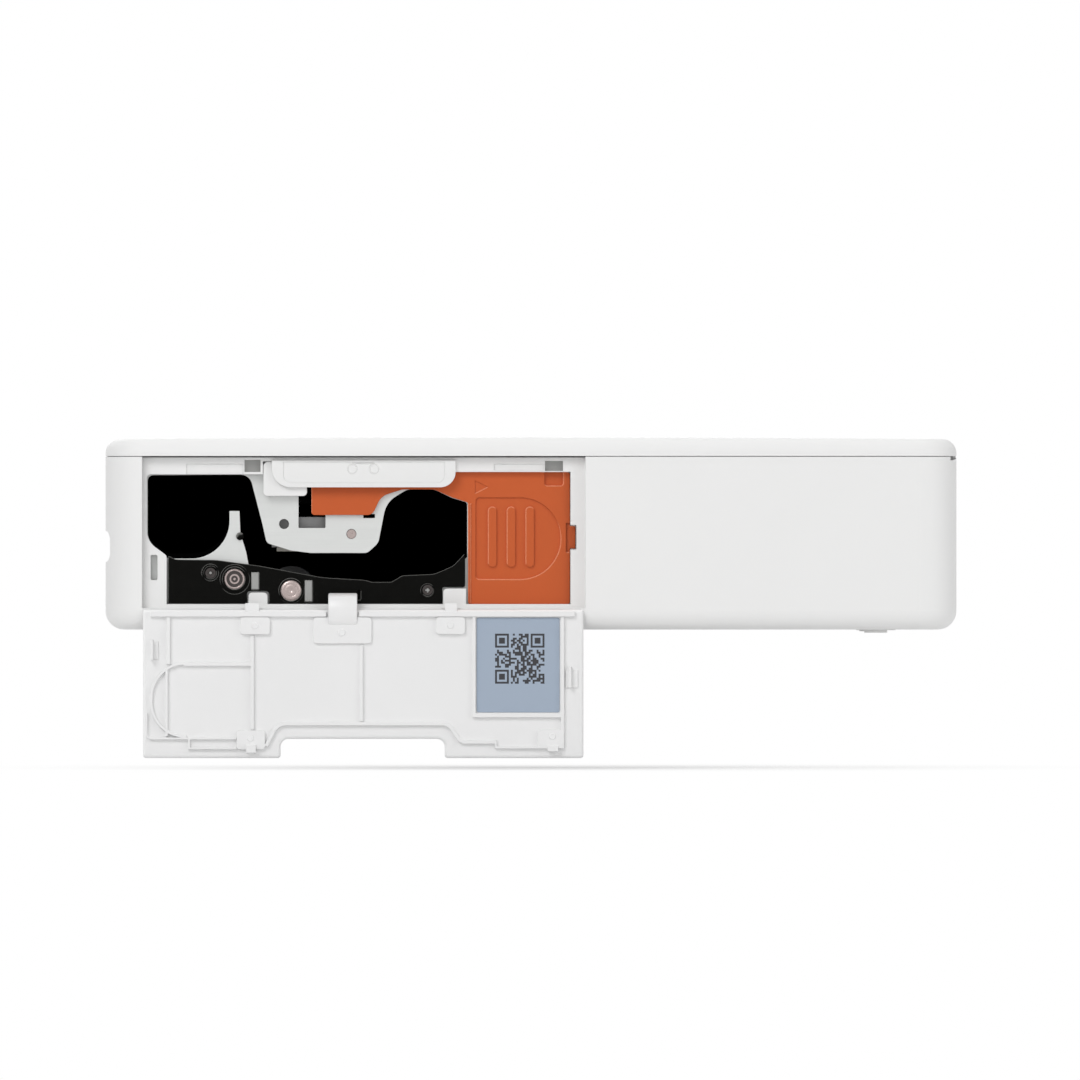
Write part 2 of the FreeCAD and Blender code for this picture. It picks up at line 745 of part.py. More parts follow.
def label_panel():
    """Raised panel over the bay's top strip, with a rim round its bare face."""
    panel = Moulding("label_panel")
    front = f"{SIDE} + panel_depth"
    panel.pad("XZ", BAY_FRONT, "panel_thickness", [outline(panel_px)])
    panel.pad("XZ", front, "panel_rim", [outline(panel_px), outline(panel_rim_px)])
    return panel


def label_block():
    """Light block beside the panel, seated on the side plate."""
    front = f"{BAY_FRONT} + seat_gap"
    block_body = Moulding("label_block")
    depth = "side_plate_depth - seat_gap - bay_depth - seat_gap"
    block_body.pad("XZ", f"{front} + {depth}", depth, [window(*LABEL_BLOCK_PX)])
    return block_body


def plate_edge():
    """Outline of both side plates, standing on the case floor, with a raised front shoulder."""
    left, step, right = place_x(PLATE_LEFT_PX), place_x(PLATE_STEP_PX), S.plate_reach
    return rounded([
        (left, S.wall, 0), (right, S.wall, 0), (right, S.plate_top, S.wall), (step, S.plate_top, 0),
        (step, S.plate_shoulder, S.wall), (left, S.plate_shoulder, S.wall),
    ])


def side_plate():
    """Sheet metal plate of the cassette side: the lobes' opening, the bracket between them and the wedge."""
    bore = S.fit_gap
    holes = [
        outline(plate_opening_px),
        *[window(*place) for place in plate_windows_px],
        disc_px(*PLATE_HOLE_PX),
        disc(head_pivot_x, head_pivot_z, S.head_pin_radius + bore),
        disc(pick_x, S.pick_level, S.pick_shaft_radius + bore),
        disc(capstan_x, capstan_z, S.roller_shaft_radius + 2 * S.seat_gap),
        disc(platen_x, platen_z, S.roller_shaft_radius + 2 * S.seat_gap),
        *[disc(place_x(px), place_z(py), S.pinch_shaft_radius + bore) for px, py in FRAME_SCREWS_PX],
    ]
    plate = Moulding("side_plate")
    plate.pad("XZ", NEAR_PLATE_BACK, "side_plate_thickness", [plate_edge(), *holes])
    plate.pad("XZ", f"{SIDE} + side_plate_depth + fit_gap", "panel_rim + fit_gap", [disc_px(*WEDGE_PIN_PX)])
    return plate


def far_side_plate():
    """The second plate, drilled for the shafts and the motor."""
    bore = S.fit_gap
    holes = [
        disc(head_pivot_x, head_pivot_z, S.head_pin_radius + bore),
        disc(pick_x, S.pick_level, S.pick_shaft_radius + bore),
        disc(capstan_x, capstan_z, S.bush_radius),
        disc(platen_x, platen_z, S.bush_radius),
        disc(pinch_x, pinch_z, S.pinch_shaft_radius + bore),
        disc(take_up_x, take_up_z, S.spindle_neck_radius + bore),
        disc(supply_x, supply_z, S.spindle_neck_radius + bore),
        disc(*motor_place(), S.motor_shaft_radius + bore),
    ]
    plate = Moulding("far_side_plate")
    plate.pad("XZ", FAR_PLATE_BACK, "side_plate_thickness", [plate_edge(), *holes])
    return plate


supply_wall_px = [
    (228.5, 514), (228.5, 553.5, 38), (166, 553.5, 9), (146.8, 538, 16), (146.8, 475.2, 6), (249, 474.6, 12),
    (262, 525), (265.5, 541),
]
take_up_wall_px = [
    (371, 552), (378, 541, 12), (386, 502, 26), (407, 489.5, 12), (434, 489.5, 14), (452, 498),
    (466, 502.5, 4), (466, 556),
]


def guide(name, wall_px, hole):
    """Black tunnel that a lobe of the cassette slides into, closed at its far end round a spindle."""
    path = placed(wall_px)
    back = f"{FAR_PLATE_FRONT} - tunnel_far_gap"
    tunnel = Moulding(name)
    tunnel.pad("XZ", back, f"({back}) - ({NEAR_PLATE_BACK}) - seat_gap", [band(path, S.tunnel_wall)])
    tunnel.pad("XZ", back, "tunnel_end_wall",
               [rounded(path), disc(*hole, S.spindle_neck_radius + S.moving_gap)])
    return tunnel


def lower_frame():
    """Black end frame under the lobes, with the bushes' holes, their clips' windows and a stepped foot."""
    holes = [
        disc(capstan_x, capstan_z, S.bush_radius),
        disc(platen_x, platen_z, S.platen_bush_radius),
        *[window(*corners) for corners in clip_windows_px],
        *[disc(place_x(px), place_z(py), S.pinch_shaft_radius + S.fit_gap) for px, py in FRAME_SCREWS_PX],
    ]
    frame = Moulding("lower_frame")
    frame.pad("XZ", FRAME_PLATE_BACK, "frame_plate_thickness",
              [outline([*frame_top_px, *frame_foot_px]), *holes])
    ring = [disc_px(*FRAME_SCREWS_PX[0], radius) for radius in frame_ring_px]
    frame.pad("XZ", f"{SIDE} + frame_plate_depth + fit_gap", "panel_rim + fit_gap", ring)
    frame.pocket("XZ", f"{SIDE} + frame_plate_depth + frame_plate_thickness / 2", "overrun",
                 [window(*FRAME_SLOT_PX)])
    return frame


def bush_clips():
    """Small grey keepers beside the two bushes."""
    gap = run(CLIP_GAP_PX)
    depth = (f"{SIDE} + frame_plate_depth + seat_gap", FRAME_PLATE_BACK)
    clips = []
    for n, (left, top, right, bottom) in enumerate(clip_windows_px):
        clips.append(block(f"bush_clip_{n}", (place_x(left) + gap, place_x(right) - gap), depth,
                           (place_z(bottom) + gap, place_z(top) - gap)))
    return group("bush_clips", clips)


def frame_screws():
    """Two pan-headed screws that hold the lower frame to the side plate."""
    screws = []
    long, short = "pinch_shaft_radius", "panel_rim"
    front = f"{SIDE} + frame_plate_depth"
    for n, (px, py) in enumerate(FRAME_SCREWS_PX):
        at = (place_x(px), place_z(py))
        head = rod(f"frame_screw_head_{n}", "y", run(FRAME_SCREW_HEAD_PX), f"{front} - 2 * panel_rim",
                   front, at)
        shank = rod(f"frame_screw_shank_{n}", "y", "pinch_shaft_radius", front, NEAR_PLATE_BACK, at)
        slots = [
            block(
                f"frame_screw_slot_{n}_{k}", (f"{at[0]} - {a}", f"{at[0]} + {a}"),
                (f"{front} - overrun", f"{front} - panel_rim"), (f"{at[1]} - {b}", f"{at[1]} + {b}")
            )
            for k, (a, b) in enumerate(((long, short), (short, long)))
        ]
        screws.append(cut(f"frame_screw_{n}", fuse(f"frame_screw_blank_{n}", [head, shank]), slots))
    return group("frame_screws", screws)


def channel_guide():
    """Curved floor of the paper path between the plates, cut out round the two rollers."""
    below = S.guide_step + S.guide_thickness
    path = [(x, z - below, radius) for x, z, radius in placed(frame_top_px[1:-3])]
    floor = Moulding("channel_floor")
    depth = f"({FAR_PLATE_FRONT}) - ({NEAR_PLATE_BACK}) - 2 * seat_gap"
    floor.pad("XZ", f"{FAR_PLATE_FRONT} - seat_gap", depth, [band(path, S.guide_thickness)])
    tools = []
    for name, x, z, radius, half in (
        ("capstan", capstan_x, capstan_z, "capstan_radius", "capstan_half"),
        ("platen", platen_x, platen_z, "platen_radius", "platen_half"),
    ):
        reach = f"{radius} + 2 * moving_gap"
        across = (f"-{half} - overrun", f"{half} + overrun")
        tools.append(block(f"{name}_gap", (f"{x} - ({reach})", f"{x} + {reach}"), across,
                           ("wall", "plate_top")))
        shaft_room = "roller_shaft_radius + seat_gap"
        tools.append(rod(f"{name}_shaft_room", "y", shaft_room, NEAR_PLATE_BACK, FAR_PLATE_FRONT, (x, z)))
    return cut("channel_guide", floor.body, tools)


def floor_guide():
    """Flat floor of the paper path over the battery, on two rails."""
    x = (place_x(FLOOR_GUIDE_PX), "turn_x")
    top = block("floor_guide_top", x, ("-paper_half", "paper_half"),
                ("floor_guide_level", "floor_guide_level + guide_thickness"))
    rails = [
        block(f"floor_guide_rail_{side + 1}", x,
              (f"{side} * paper_half - {(side + 1) // 2} * guide_thickness",
              f"{side} * paper_half + {(1 - side) // 2} * guide_thickness"), ("wall", "floor_guide_level"))
        for side in (-1, 1)
    ]
    return fuse("floor_guide", [top, *rails])


def turn_guide():
    """Half-round guide that turns the sheet from the deck down to the path's floor."""
    centre = S.floor_guide_level + S.guide_thickness + S.turn_radius
    x, outer, inner = S.turn_x, S.turn_radius + S.turn_wall, S.turn_radius
    run_in = S.turn_wall * 2
    strip = [
        (x + S.seat_gap, centre - outer, 0), (x + run_in + outer, centre - outer, outer),
        (x + run_in + outer, centre + outer, outer), (x, centre + outer, 0), (x, centre + inner, 0),
        (x + run_in + inner, centre + inner, inner), (x + run_in + inner, centre - inner, inner),
        (x + S.seat_gap, centre - inner, 0),
    ]
    turn = Moulding("turn_guide")
    turn.pad("XZ", "paper_half", "2 * paper_half", [rounded(strip)])
    foot = rectangle(x + run_in, S.wall, x + run_in + S.turn_wall * 2, centre - outer + S.turn_wall / 2)
    for level in ("paper_half", "-paper_half + turn_wall"):
        turn.pad("XZ", level, "turn_wall", [foot])
    return turn


def paper_deck():
    """Deck under the lid for the sheets, with rails, a front stop, and windows for the tyre and the turn."""
    plate = block("deck_plate", ("deck_front", "deck_rear"),
                  ("-case_width / 2 + side_plate_depth + seat_gap",
                   "case_width / 2 - far_plate_inset - seat_gap"),
                  ("plate_top", "plate_top + deck_thickness"))
    rail_z = ("plate_top", "plate_top + deck_thickness + deck_rail")
    rails = [
        block(f"deck_rail_{side + 1}", ("deck_front", "deck_rear"),
              (f"{side} * (paper_half + deck_rail_thickness / 2) - deck_rail_thickness / 2",
               f"{side} * (paper_half + deck_rail_thickness / 2) + deck_rail_thickness / 2"), rail_z)
        for side in (-1, 1)
    ]
    stop = block("deck_stop", ("deck_front", "deck_front + deck_rail_thickness"),
                 ("-paper_half", "paper_half"), rail_z)
    windows = [
        block("tyre_window",
              (f"{pick_x} - pick_radius - moving_gap", f"{pick_x} + pick_radius + moving_gap"),
              ("-pick_tyre_half - overrun", "pick_tyre_half + overrun"),
              ("plate_top - overrun", "case_height")),
        block("turn_window", ("turn_x", "turn_x + 2 * deck_thickness"),
              ("-paper_half + overrun", "paper_half - overrun"),
              ("plate_top - overrun", "case_height")),
    ]
    return cut("paper_deck", fuse("deck_blank", [plate, *rails, stop]), windows)


def exit_guide():
    """Two lips that lead the print out through the mouth in the front wall."""
    x = ("-case_length / 2 + wall + seat_gap", place_x(PLATE_LEFT_PX))
    high, low = (place_z(py) for py in MOUTH_PX)
    low, high = low + S.mouth_slot_inset, high - S.mouth_slot_inset
    across = ("-paper_half", "paper_half")
    floor = block("exit_floor", x, across, (f"{low} - guide_thickness", f"{low}"))
    roof = block("exit_roof", x, across, (f"{high}", f"{high} + guide_thickness"))
    cheeks = [
        block(f"exit_cheek_{side + 1}", x,
              (f"{side} * paper_half - {(side + 1) // 2} * guide_thickness",
               f"{side} * paper_half + {(1 - side) // 2} * guide_thickness"),
              (f"{low} - guide_thickness", f"{high} + guide_thickness"))
        for side in (-1, 1)
    ]
    return fuse("exit_guide", [floor, roof, *cheeks])


# Rollers

def tube(name, radius, bore, low, high, at):
    return cut(name, rod(f"{name}_outer", "y", radius, low, high, at),
               [rod(f"{name}_bore", "y", bore, f"{low} - overrun", f"{high} + overrun", at)])


SHAFT_FRONT = f"{SIDE} + frame_plate_depth + fit_gap"
GEAR_A = (f"{FAR_PLATE_BACK} + gear_gap", f"{FAR_PLATE_BACK} + gear_gap + gear_layer")
GEAR_B = (f"{GEAR_A[1]} + gear_gap", f"{GEAR_A[1]} + gear_gap + gear_layer")


def platen_shaft():
    return rod("platen_shaft", "y", "roller_shaft_radius", SHAFT_FRONT, GEAR_A[1], (platen_x, platen_z))


def platen_sleeve():
    """Rubber sleeve that presses the sheet and ribbon to the head."""
    return tube("platen_sleeve", "platen_radius", "roller_shaft_radius", "-platen_half", "platen_half",
                (platen_x, platen_z))


def capstan_roller():
    """Steel shaft with a wider gritted drum in its middle."""
    at = (capstan_x, capstan_z)
    shaft = rod("capstan_shaft", "y", "roller_shaft_radius", SHAFT_FRONT, GEAR_A[1], at)
    drum = rod("capstan_drum", "y", "capstan_radius", "-capstan_half", "capstan_half", at)
    return fuse("capstan_roller", [shaft, drum])


def pinch_roller():
    at = (pinch_x, pinch_z)
    tyre = rod("pinch_tyre", "y", "pinch_radius", "-pinch_half", "pinch_half", at)
    shaft = rod("pinch_shaft", "y", "pinch_shaft_radius", f"{NEAR_PLATE_BACK} + fit_gap", FAR_PLATE_BACK,
                at)
    return fuse("pinch_roller", [tyre, shaft])


def pick_roller():
    """Pick-up shaft with a rubber tyre that reaches through the deck."""
    at = (pick_x, "pick_level")
    shaft = rod("pick_shaft", "y", "pick_shaft_radius", f"{SIDE} + side_plate_depth + seat_gap",
                f"{FAR_PLATE_BACK} - seat_gap", at)
    tyre = rod("pick_tyre", "y", "pick_radius", "-pick_tyre_half", "pick_tyre_half", at)
    return fuse("pick_roller", [shaft, tyre])


def roller_bushes():
    """A plain bush at each end of both driven shafts."""
    bore = "roller_shaft_radius + fit_gap"
    near = (f"{SIDE} + frame_plate_depth", FRAME_PLATE_BACK)
    far = (FAR_PLATE_FRONT, FAR_PLATE_BACK)
    return group("roller_bushes", [
        tube("capstan_near_bush", "bush_radius", bore, *near, (capstan_x, capstan_z)),
        tube("capstan_far_bush", "bush_radius", bore, *far, (capstan_x, capstan_z)),
        tube("platen_near_bush", "platen_bush_radius", bore, *near, (platen_x, platen_z)),
        tube("platen_far_bush", "bush_radius", bore, *far, (platen_x, platen_z)),
    ])


# Gear train, outside the far plate

def gear_outline(teeth, turn):
    """Involute teeth round the origin as (across, up) points, the first tooth at an angle."""
    pitch = S.gear_module * teeth / 2
    base = pitch * math.cos(PRESSURE_ANGLE)
    tip = pitch + TOOTH_TOP_SHARE * S.gear_module
    root = pitch - TOOTH_ROOT_SHARE * S.gear_module
    flat = math.tan(PRESSURE_ANGLE) - PRESSURE_ANGLE
    half = (math.pi / 2 - TOOTH_THINNING_SHARE) / teeth + flat
    start = max(base, root)
    flank = []
    for k in range(FLANK_STEPS + 1):
        radius = start + (tip - start) * k / FLANK_STEPS
        roll = math.sqrt(max((radius / base) ** 2 - 1, 0))
        flank.append((radius, half - (roll - math.atan(roll))))
    if root < base:
        flank.insert(0, (root, flank[0][1]))
    points = []
    for tooth in range(teeth):
        middle = turn + 2 * math.pi * tooth / teeth
        side = [(radius, middle - angle) for radius, angle in flank]
        side += [(radius, middle + angle) for radius, angle in reversed(flank)]
        points += [(radius * math.cos(angle), radius * math.sin(angle)) for radius, angle in side]
    return points


def gear(name, teeth, turn, layer, at):
    """Toothed disc between two levels, drawn from its outline."""
    x, z = at
    ring = [Vector(x + across, 0, z + up) for across, up in gear_outline(teeth, turn)]
    face = Part.Face(Part.makePolygon([*ring, ring[0]]))
    disc_solid = face.extrude(Vector(0, S.gear_layer, 0))
    item = doc.addObject("Part::Feature", name)
    item.Shape = disc_solid
    bind(item, ".Placement.Base.y", layer[0])
    return item


def pitch_radius(teeth):
    return S.gear_module * teeth / 2


def facing(turn, teeth, angle, other_teeth):
    """Turn of a gear whose gap faces the tooth of its neighbour, at an angle from that neighbour."""
    pitch = math.pi * S.gear_module
    arc = pitch_radius(teeth) * (turn - angle) + pitch / 2
    return angle + math.pi - arc / pitch_radius(other_teeth)


def meet(first, first_reach, second, second_reach, side):
    """Place at two distances from two places, on one side of the line between them."""
    dx, dz = second[0] - first[0], second[1] - first[1]
    span = math.hypot(dx, dz)
    along = (first_reach**2 - second_reach**2 + span**2) / (2 * span)
    off = side * math.sqrt(first_reach**2 - along**2)
    return (first[0] + (dx * along - dz * off) / span, first[1] + (dz * along + dx * off) / span)


# How far the motor shaft lies lower, as a share of its distance from the take-up spindle
MOTOR_DROP_SHARE = 0.25


def motor_place():
    """Motor shaft, one mesh to the right of the take-up spindle and somewhat lower."""
    reach = pitch_radius(PINION_TEETH + REDUCTION_TEETH)
    drop = MOTOR_DROP_SHARE * reach
    return (take_up_x + math.sqrt(reach**2 - drop**2), take_up_z - drop)


def gear_train():
    """Every gear's teeth, place and first tooth, from the motor to the two rollers."""
    take_up, platen, capstan = (take_up_x, take_up_z), (platen_x, platen_z), (capstan_x, capstan_z)
    span = math.dist(take_up, platen)
    transfer_teeth = math.ceil((span / S.gear_module * 2 - REDUCTION_PINION_TEETH - ROLLER_TEETH) / 2) + 1
    transfer = meet(
        take_up, pitch_radius(REDUCTION_PINION_TEETH + transfer_teeth),
        platen, pitch_radius(ROLLER_TEETH + transfer_teeth), -1
    )
    reach = pitch_radius(ROLLER_TEETH + IDLER_TEETH)
    idler = meet(platen, reach, capstan, reach, -1)

    def angle(a, b):
        return math.atan2(b[1] - a[1], b[0] - a[0])

    pinion_turn = 0.0
    wheel_turn = facing(pinion_turn, PINION_TEETH, angle(motor_place(), take_up), REDUCTION_TEETH)
    transfer_turn = facing(0.0, REDUCTION_PINION_TEETH, angle(take_up, transfer), transfer_teeth)
    platen_turn = facing(transfer_turn, transfer_teeth, angle(transfer, platen), ROLLER_TEETH)
    idler_turn = facing(platen_turn, ROLLER_TEETH, angle(platen, idler), IDLER_TEETH)
    capstan_turn = facing(idler_turn, IDLER_TEETH, angle(idler, capstan), ROLLER_TEETH)
    return {
        "motor_pinion": (PINION_TEETH, pinion_turn, GEAR_B, motor_place(), "motor_shaft_radius"),
        "reduction_wheel": (REDUCTION_TEETH, wheel_turn, GEAR_B, take_up, "spindle_neck_radius + fit_gap"),
        "reduction_pinion": (REDUCTION_PINION_TEETH, 0.0, GEAR_A, take_up, "spindle_neck_radius + fit_gap"),
        "transfer_gear": (transfer_teeth, transfer_turn, GEAR_A, transfer, "gear_axle_radius + fit_gap"),
        "platen_gear": (ROLLER_TEETH, platen_turn, GEAR_A, platen, "roller_shaft_radius"),
        "idler_gear": (IDLER_TEETH, idler_turn, GEAR_A, idler, "gear_axle_radius + fit_gap"),
        "capstan_gear": (ROLLER_TEETH, capstan_turn, GEAR_A, capstan, "roller_shaft_radius"),
    }


def bored_gear(name, teeth, turn, layer, at, bore):
    blank = gear(f"{name}_blank", teeth, turn, layer, at)
    hole = rod(f"{name}_hole", "y", bore, FAR_PLATE_FRONT, "case_width / 2", at)
    return cut(name, blank, [hole])


def gears():
    """The single gears as they are, and the compound gear as wheel, hub and pinion in one."""
    train = gear_train()
    single = {name: bored_gear(name, *facts) for name, facts in train.items() if "reduction" not in name}
    wheel = gear("reduction_wheel", *train["reduction_wheel"][:-1])
    pinion = gear("reduction_pinion", *train["reduction_pinion"][:-1])
    at = (take_up_x, take_up_z)
    hub = rod("reduction_hub", "y", "spindle_neck_radius + gear_bore_wall", GEAR_A[0], GEAR_B[1], at)
    bore = rod("reduction_bore", "y", "spindle_neck_radius + fit_gap", FAR_PLATE_FRONT, "case_width / 2",
               at)
    single["reduction_gear"] = cut("reduction_gear", fuse("reduction_blank", [wheel, pinion, hub]), [bore])
    print("transfer teeth", train["transfer_gear"][0])
    for name in ("motor_pinion", "reduction_wheel", "transfer_gear", "platen_gear", "idler_gear",
                 "capstan_gear"):
        x, z = train[name][3]
        print(f"{name} axis x {x:.4f} z {z:.4f}")
    return single


def gear_axles():
    """Stub axles riveted to the far plate for the two loose gears."""
    train = gear_train()
    axles = []
    for name in ("transfer_gear", "idler_gear"):
        axles.append(rod(f"{name}_axle", "y", "gear_axle_radius", FAR_PLATE_BACK, GEAR_A[1],
                         train[name][3]))
    return group("gear_axles", axles)


def drive_motor():
    """Flat motor can on the inside of the far plate."""
    can = rod("motor_can", "y", "motor_radius", f"{FAR_PLATE_FRONT} - seat_gap - motor_length",
              f"{FAR_PLATE_FRONT} - seat_gap", motor_place())
    boss_hole = rod("motor_boss_hole", "y", "motor_shaft_radius + fit_gap",
                    f"{FAR_PLATE_FRONT} - motor_length / 2",
                    FAR_PLATE_FRONT, motor_place())
    return cut("drive_motor", can, [boss_hole])


def motor_shaft():
    return rod("motor_shaft", "y", "motor_shaft_radius", f"{FAR_PLATE_FRONT} - motor_length / 2 + seat_gap",
               GEAR_B[1],
               motor_place())


def spindle(name, at, end):
    """Spindle that drives a ribbon core: a nose inside the tunnel and a neck through its end wall."""
    wall_front = f"{FAR_PLATE_FRONT} - tunnel_far_gap - tunnel_end_wall - moving_gap"
    nose = rod(f"{name}_nose", "y", "spindle_radius", f"{wall_front} - spindle_length", wall_front, at)
    neck = rod(f"{name}_neck", "y", "spindle_neck_radius", f"{wall_front} - fit_gap", end, at)
    return fuse(name, [nose, neck])


# Print head

# Ends of the heat sink and of the strip, the grooves and the springs, in platen radii from the platen's axis
SINK_SHARES, STRIP_SHARE, SPRING_SHARE = (-0.8, 1.1), 0.6, 0.125
GROOVE_SHARES = ((-0.55, -0.35), (0.65, 0.85))
SINK_X = tuple(f"{platen_x} + {share} * platen_radius" for share in SINK_SHARES)
STRIP_LEVEL = f"{platen_z} + platen_radius + head_lift"


def thermal_strip():
    x = (f"{platen_x} - {STRIP_SHARE} * platen_radius", f"{platen_x} + {STRIP_SHARE} * platen_radius")
    return block("thermal_strip", x, ("-head_half", "head_half"),
                 (STRIP_LEVEL, f"{STRIP_LEVEL} + head_strip_thickness"))


def head_sink():
    """Grooved aluminium bar that carries the strip, with an arm at each end that turns on the head pin."""
    base = f"{STRIP_LEVEL} + head_strip_thickness"
    bar = block("sink_bar", SINK_X, ("-head_half", "head_half"), (base, f"{base} + head_sink_height"))
    fins = [
        block(f"sink_groove_{n}", tuple(f"{platen_x} + {share} * platen_radius" for share in shares),
              ("-head_half - overrun", "head_half + overrun"),
              (f"{base} + head_sink_height / 2", f"{base} + head_sink_height + overrun"))
        for n, shares in enumerate(GROOVE_SHARES)
    ]
    arms = [
        block(f"head_arm_{side + 1}", (SINK_X[0], f"{head_pivot_x} + 2 * head_pin_radius"),
              (f"{side} * (head_half + head_arm_thickness / 2) - head_arm_thickness / 2",
               f"{side} * (head_half + head_arm_thickness / 2) + head_arm_thickness / 2"),
              (f"{head_pivot_z} - 2 * head_pin_radius", f"{base} + head_sink_height"))
        for side in (-1, 1)
    ]
    bore = rod("head_arm_bore", "y", "head_pin_radius + fit_gap", "-case_width / 2", "case_width / 2",
               (head_pivot_x, head_pivot_z))
    return cut("head_sink", fuse("head_sink_blank", [bar, *arms]), [*fins, bore])


def head_pin():
    return rod("head_pin", "y", "head_pin_radius", f"{SIDE} + side_plate_depth + 2 * seat_gap",
               f"{FAR_PLATE_BACK} - seat_gap", (head_pivot_x, head_pivot_z))


def head_beam():
    """Fixed beam over the head that its springs push from."""
    across = (f"{NEAR_PLATE_BACK} + fit_gap", f"{FAR_PLATE_FRONT} - fit_gap")
    beam = block("beam_bar", SINK_X, across, ("head_beam_level", "head_beam_level + head_beam_height"))
    hollow = block("beam_hollow",
                   (f"{SINK_X[0]} + side_plate_thickness", f"{SINK_X[1]} - side_plate_thickness"),
                   across, ("head_beam_level + side_plate_thickness", "plate_top"))
    return cut("head_beam", beam, [hollow])


def head_springs():
    """Two short compression springs between beam and head, as sleeves."""
    low = f"{STRIP_LEVEL} + head_strip_thickness + head_sink_height"
    sleeves = []
    for n, side in enumerate((-1, 1)):
        at = (f"{platen_x} + {SPRING_SHARE} * platen_radius", f"{side} * head_half / 2")
        outer = rod(f"head_spring_outer_{n}", "z", "head_spring_radius", low, "head_beam_level", at)
        inner = rod(f"head_spring_inner_{n}", "z", "head_spring_bore", f"{low} - overrun",
                    "head_beam_level + overrun", at)
        sleeves.append(cut(f"head_spring_{n}", outer, [inner]))
    return group("head_springs", sleeves)


# Power, boards and button

PACK_CORNER_SHARE = 0.2


def battery_pack():
    """Flat cell pack with rounded long edges, lying on the case floor."""
    pack = block("battery_block", ("battery_front", "battery_rear"), ("-battery_half", "battery_half"),
                 ("wall", "wall + battery_height"))
    softened = doc.addObject("Part::Fillet", "battery_pack")
    softened.Base = pack
    doc.recompute()
    corner = PACK_CORNER_SHARE * S.battery_height
    softened.Edges = [(i, corner, corner) for i,
                      e in enumerate(pack.Shape.Edges, 1) if e.BoundBox.YLength > S.wall]
    return softened


# Each chip's corner along and across the board, its length and its width
CHIP_SHARES = ((0.2, -0.5, 0.32, 0.3), (0.62, -0.42, 0.2, 0.16), (0.3, 0.1, 0.24, 0.22),
               (0.6, 0.45, 0.3, 0.4))


def main_board():
    return block("main_board", ("board_front", "board_rear"), ("-board_half", "board_half"),
                 ("board_level", "board_level + board_thickness"))


def board_chips():
    """Chips and a shielded radio on the board, as blocks."""
    top = "board_level + board_thickness"
    length = "(board_rear - board_front)"
    chips = []
    for n, (x, y, long_share, wide_share) in enumerate(CHIP_SHARES):
        low_x = f"board_front + {x} * {length}"
        low_y = f"{y} * board_half"
        chips.append(block(f"chip_{n}", (low_x, f"{low_x} + {long_share} * {length}"),
                           (low_y, f"{low_y} + {wide_share} * board_half"), (top, f"{top} + chip_height")))
    return group("board_chips", chips)


def port_board():
    return block("port_board", ("port_front", "case_length / 2 - wall - seat_gap"),
                 ("-2 * port_half_width", "2 * port_half_width"),
                 ("port_level - board_thickness", "port_level"))


def usb_socket():
    """Metal shell of a charging socket, open to the rear, with its tongue."""
    x = ("case_length / 2 - seat_gap - port_depth", "case_length / 2 - seat_gap")
    y = ("-port_half_width", "port_half_width")
    z = ("port_level", "port_level + port_height")
    shell = block("socket_shell", x, y, z)
    hollow = block("socket_hollow", (f"{x[0]} + 2 * port_shell", "case_length / 2"),
                   ("-port_half_width + port_shell", "port_half_width - port_shell"),
                   ("port_level + port_shell", "port_level + port_height - port_shell"))
    middle = "port_level + port_height / 2"
    tongue = block("socket_tongue", (f"{x[0]} + port_shell", "case_length / 2 - fit_gap - port_shell"),
                   ("-port_half_width / 2", "port_half_width / 2"),
                   (f"{middle} - port_shell", f"{middle} + port_shell"))
    return fuse("usb_socket", [cut("socket_open", shell, [hollow]), tongue])


BUTTON_FACE = "case_width / 2 + button_stand_out"
BUTTON_BACK = "case_width / 2 - wall - seat_gap"


def power_button():
    """Round cap in the far wall, with a flange behind the wall and a stem to its switch."""
    at = button_place()
    cap = rod("button_cap", "y", "button_radius", f"{BUTTON_BACK} - button_flange_thickness", BUTTON_FACE,
              at)
    flange = rod("button_rim", "y", "button_radius + button_flange",
                 f"{BUTTON_BACK} - button_flange_thickness",
                 BUTTON_BACK, at)
    stem = rod("button_stem", "y", "button_stem_radius",
               f"{BUTTON_BACK} - button_flange_thickness - button_travel", BUTTON_BACK, at)
    return fuse("power_button", [cap, flange, stem])


def button_switch():
    """Small board with a domed switch, on the far plate behind the button."""
    x, z = button_place()
    back = f"{FAR_PLATE_BACK} + fit_gap"
    dome_top = f"{BUTTON_BACK} - button_flange_thickness - 2 * button_travel - fit_gap"
    board = block("switch_board", (f"{x} - button_radius", f"{x} + button_radius + button_flange"),
                  (back, f"{back} + gear_gap * 2"),
                  (f"{z} - button_radius", f"{z} + button_radius"))
    dome = rod("switch_dome", "y", "button_stem_radius + fit_gap", back, dome_top, (x, z))
    return fuse("button_switch", [board, dome])


def light_pipe():
    return rod("light_pipe", "y", "light_radius", "case_width / 2 - 2 * wall", "case_width / 2",
               light_place())


# Lid

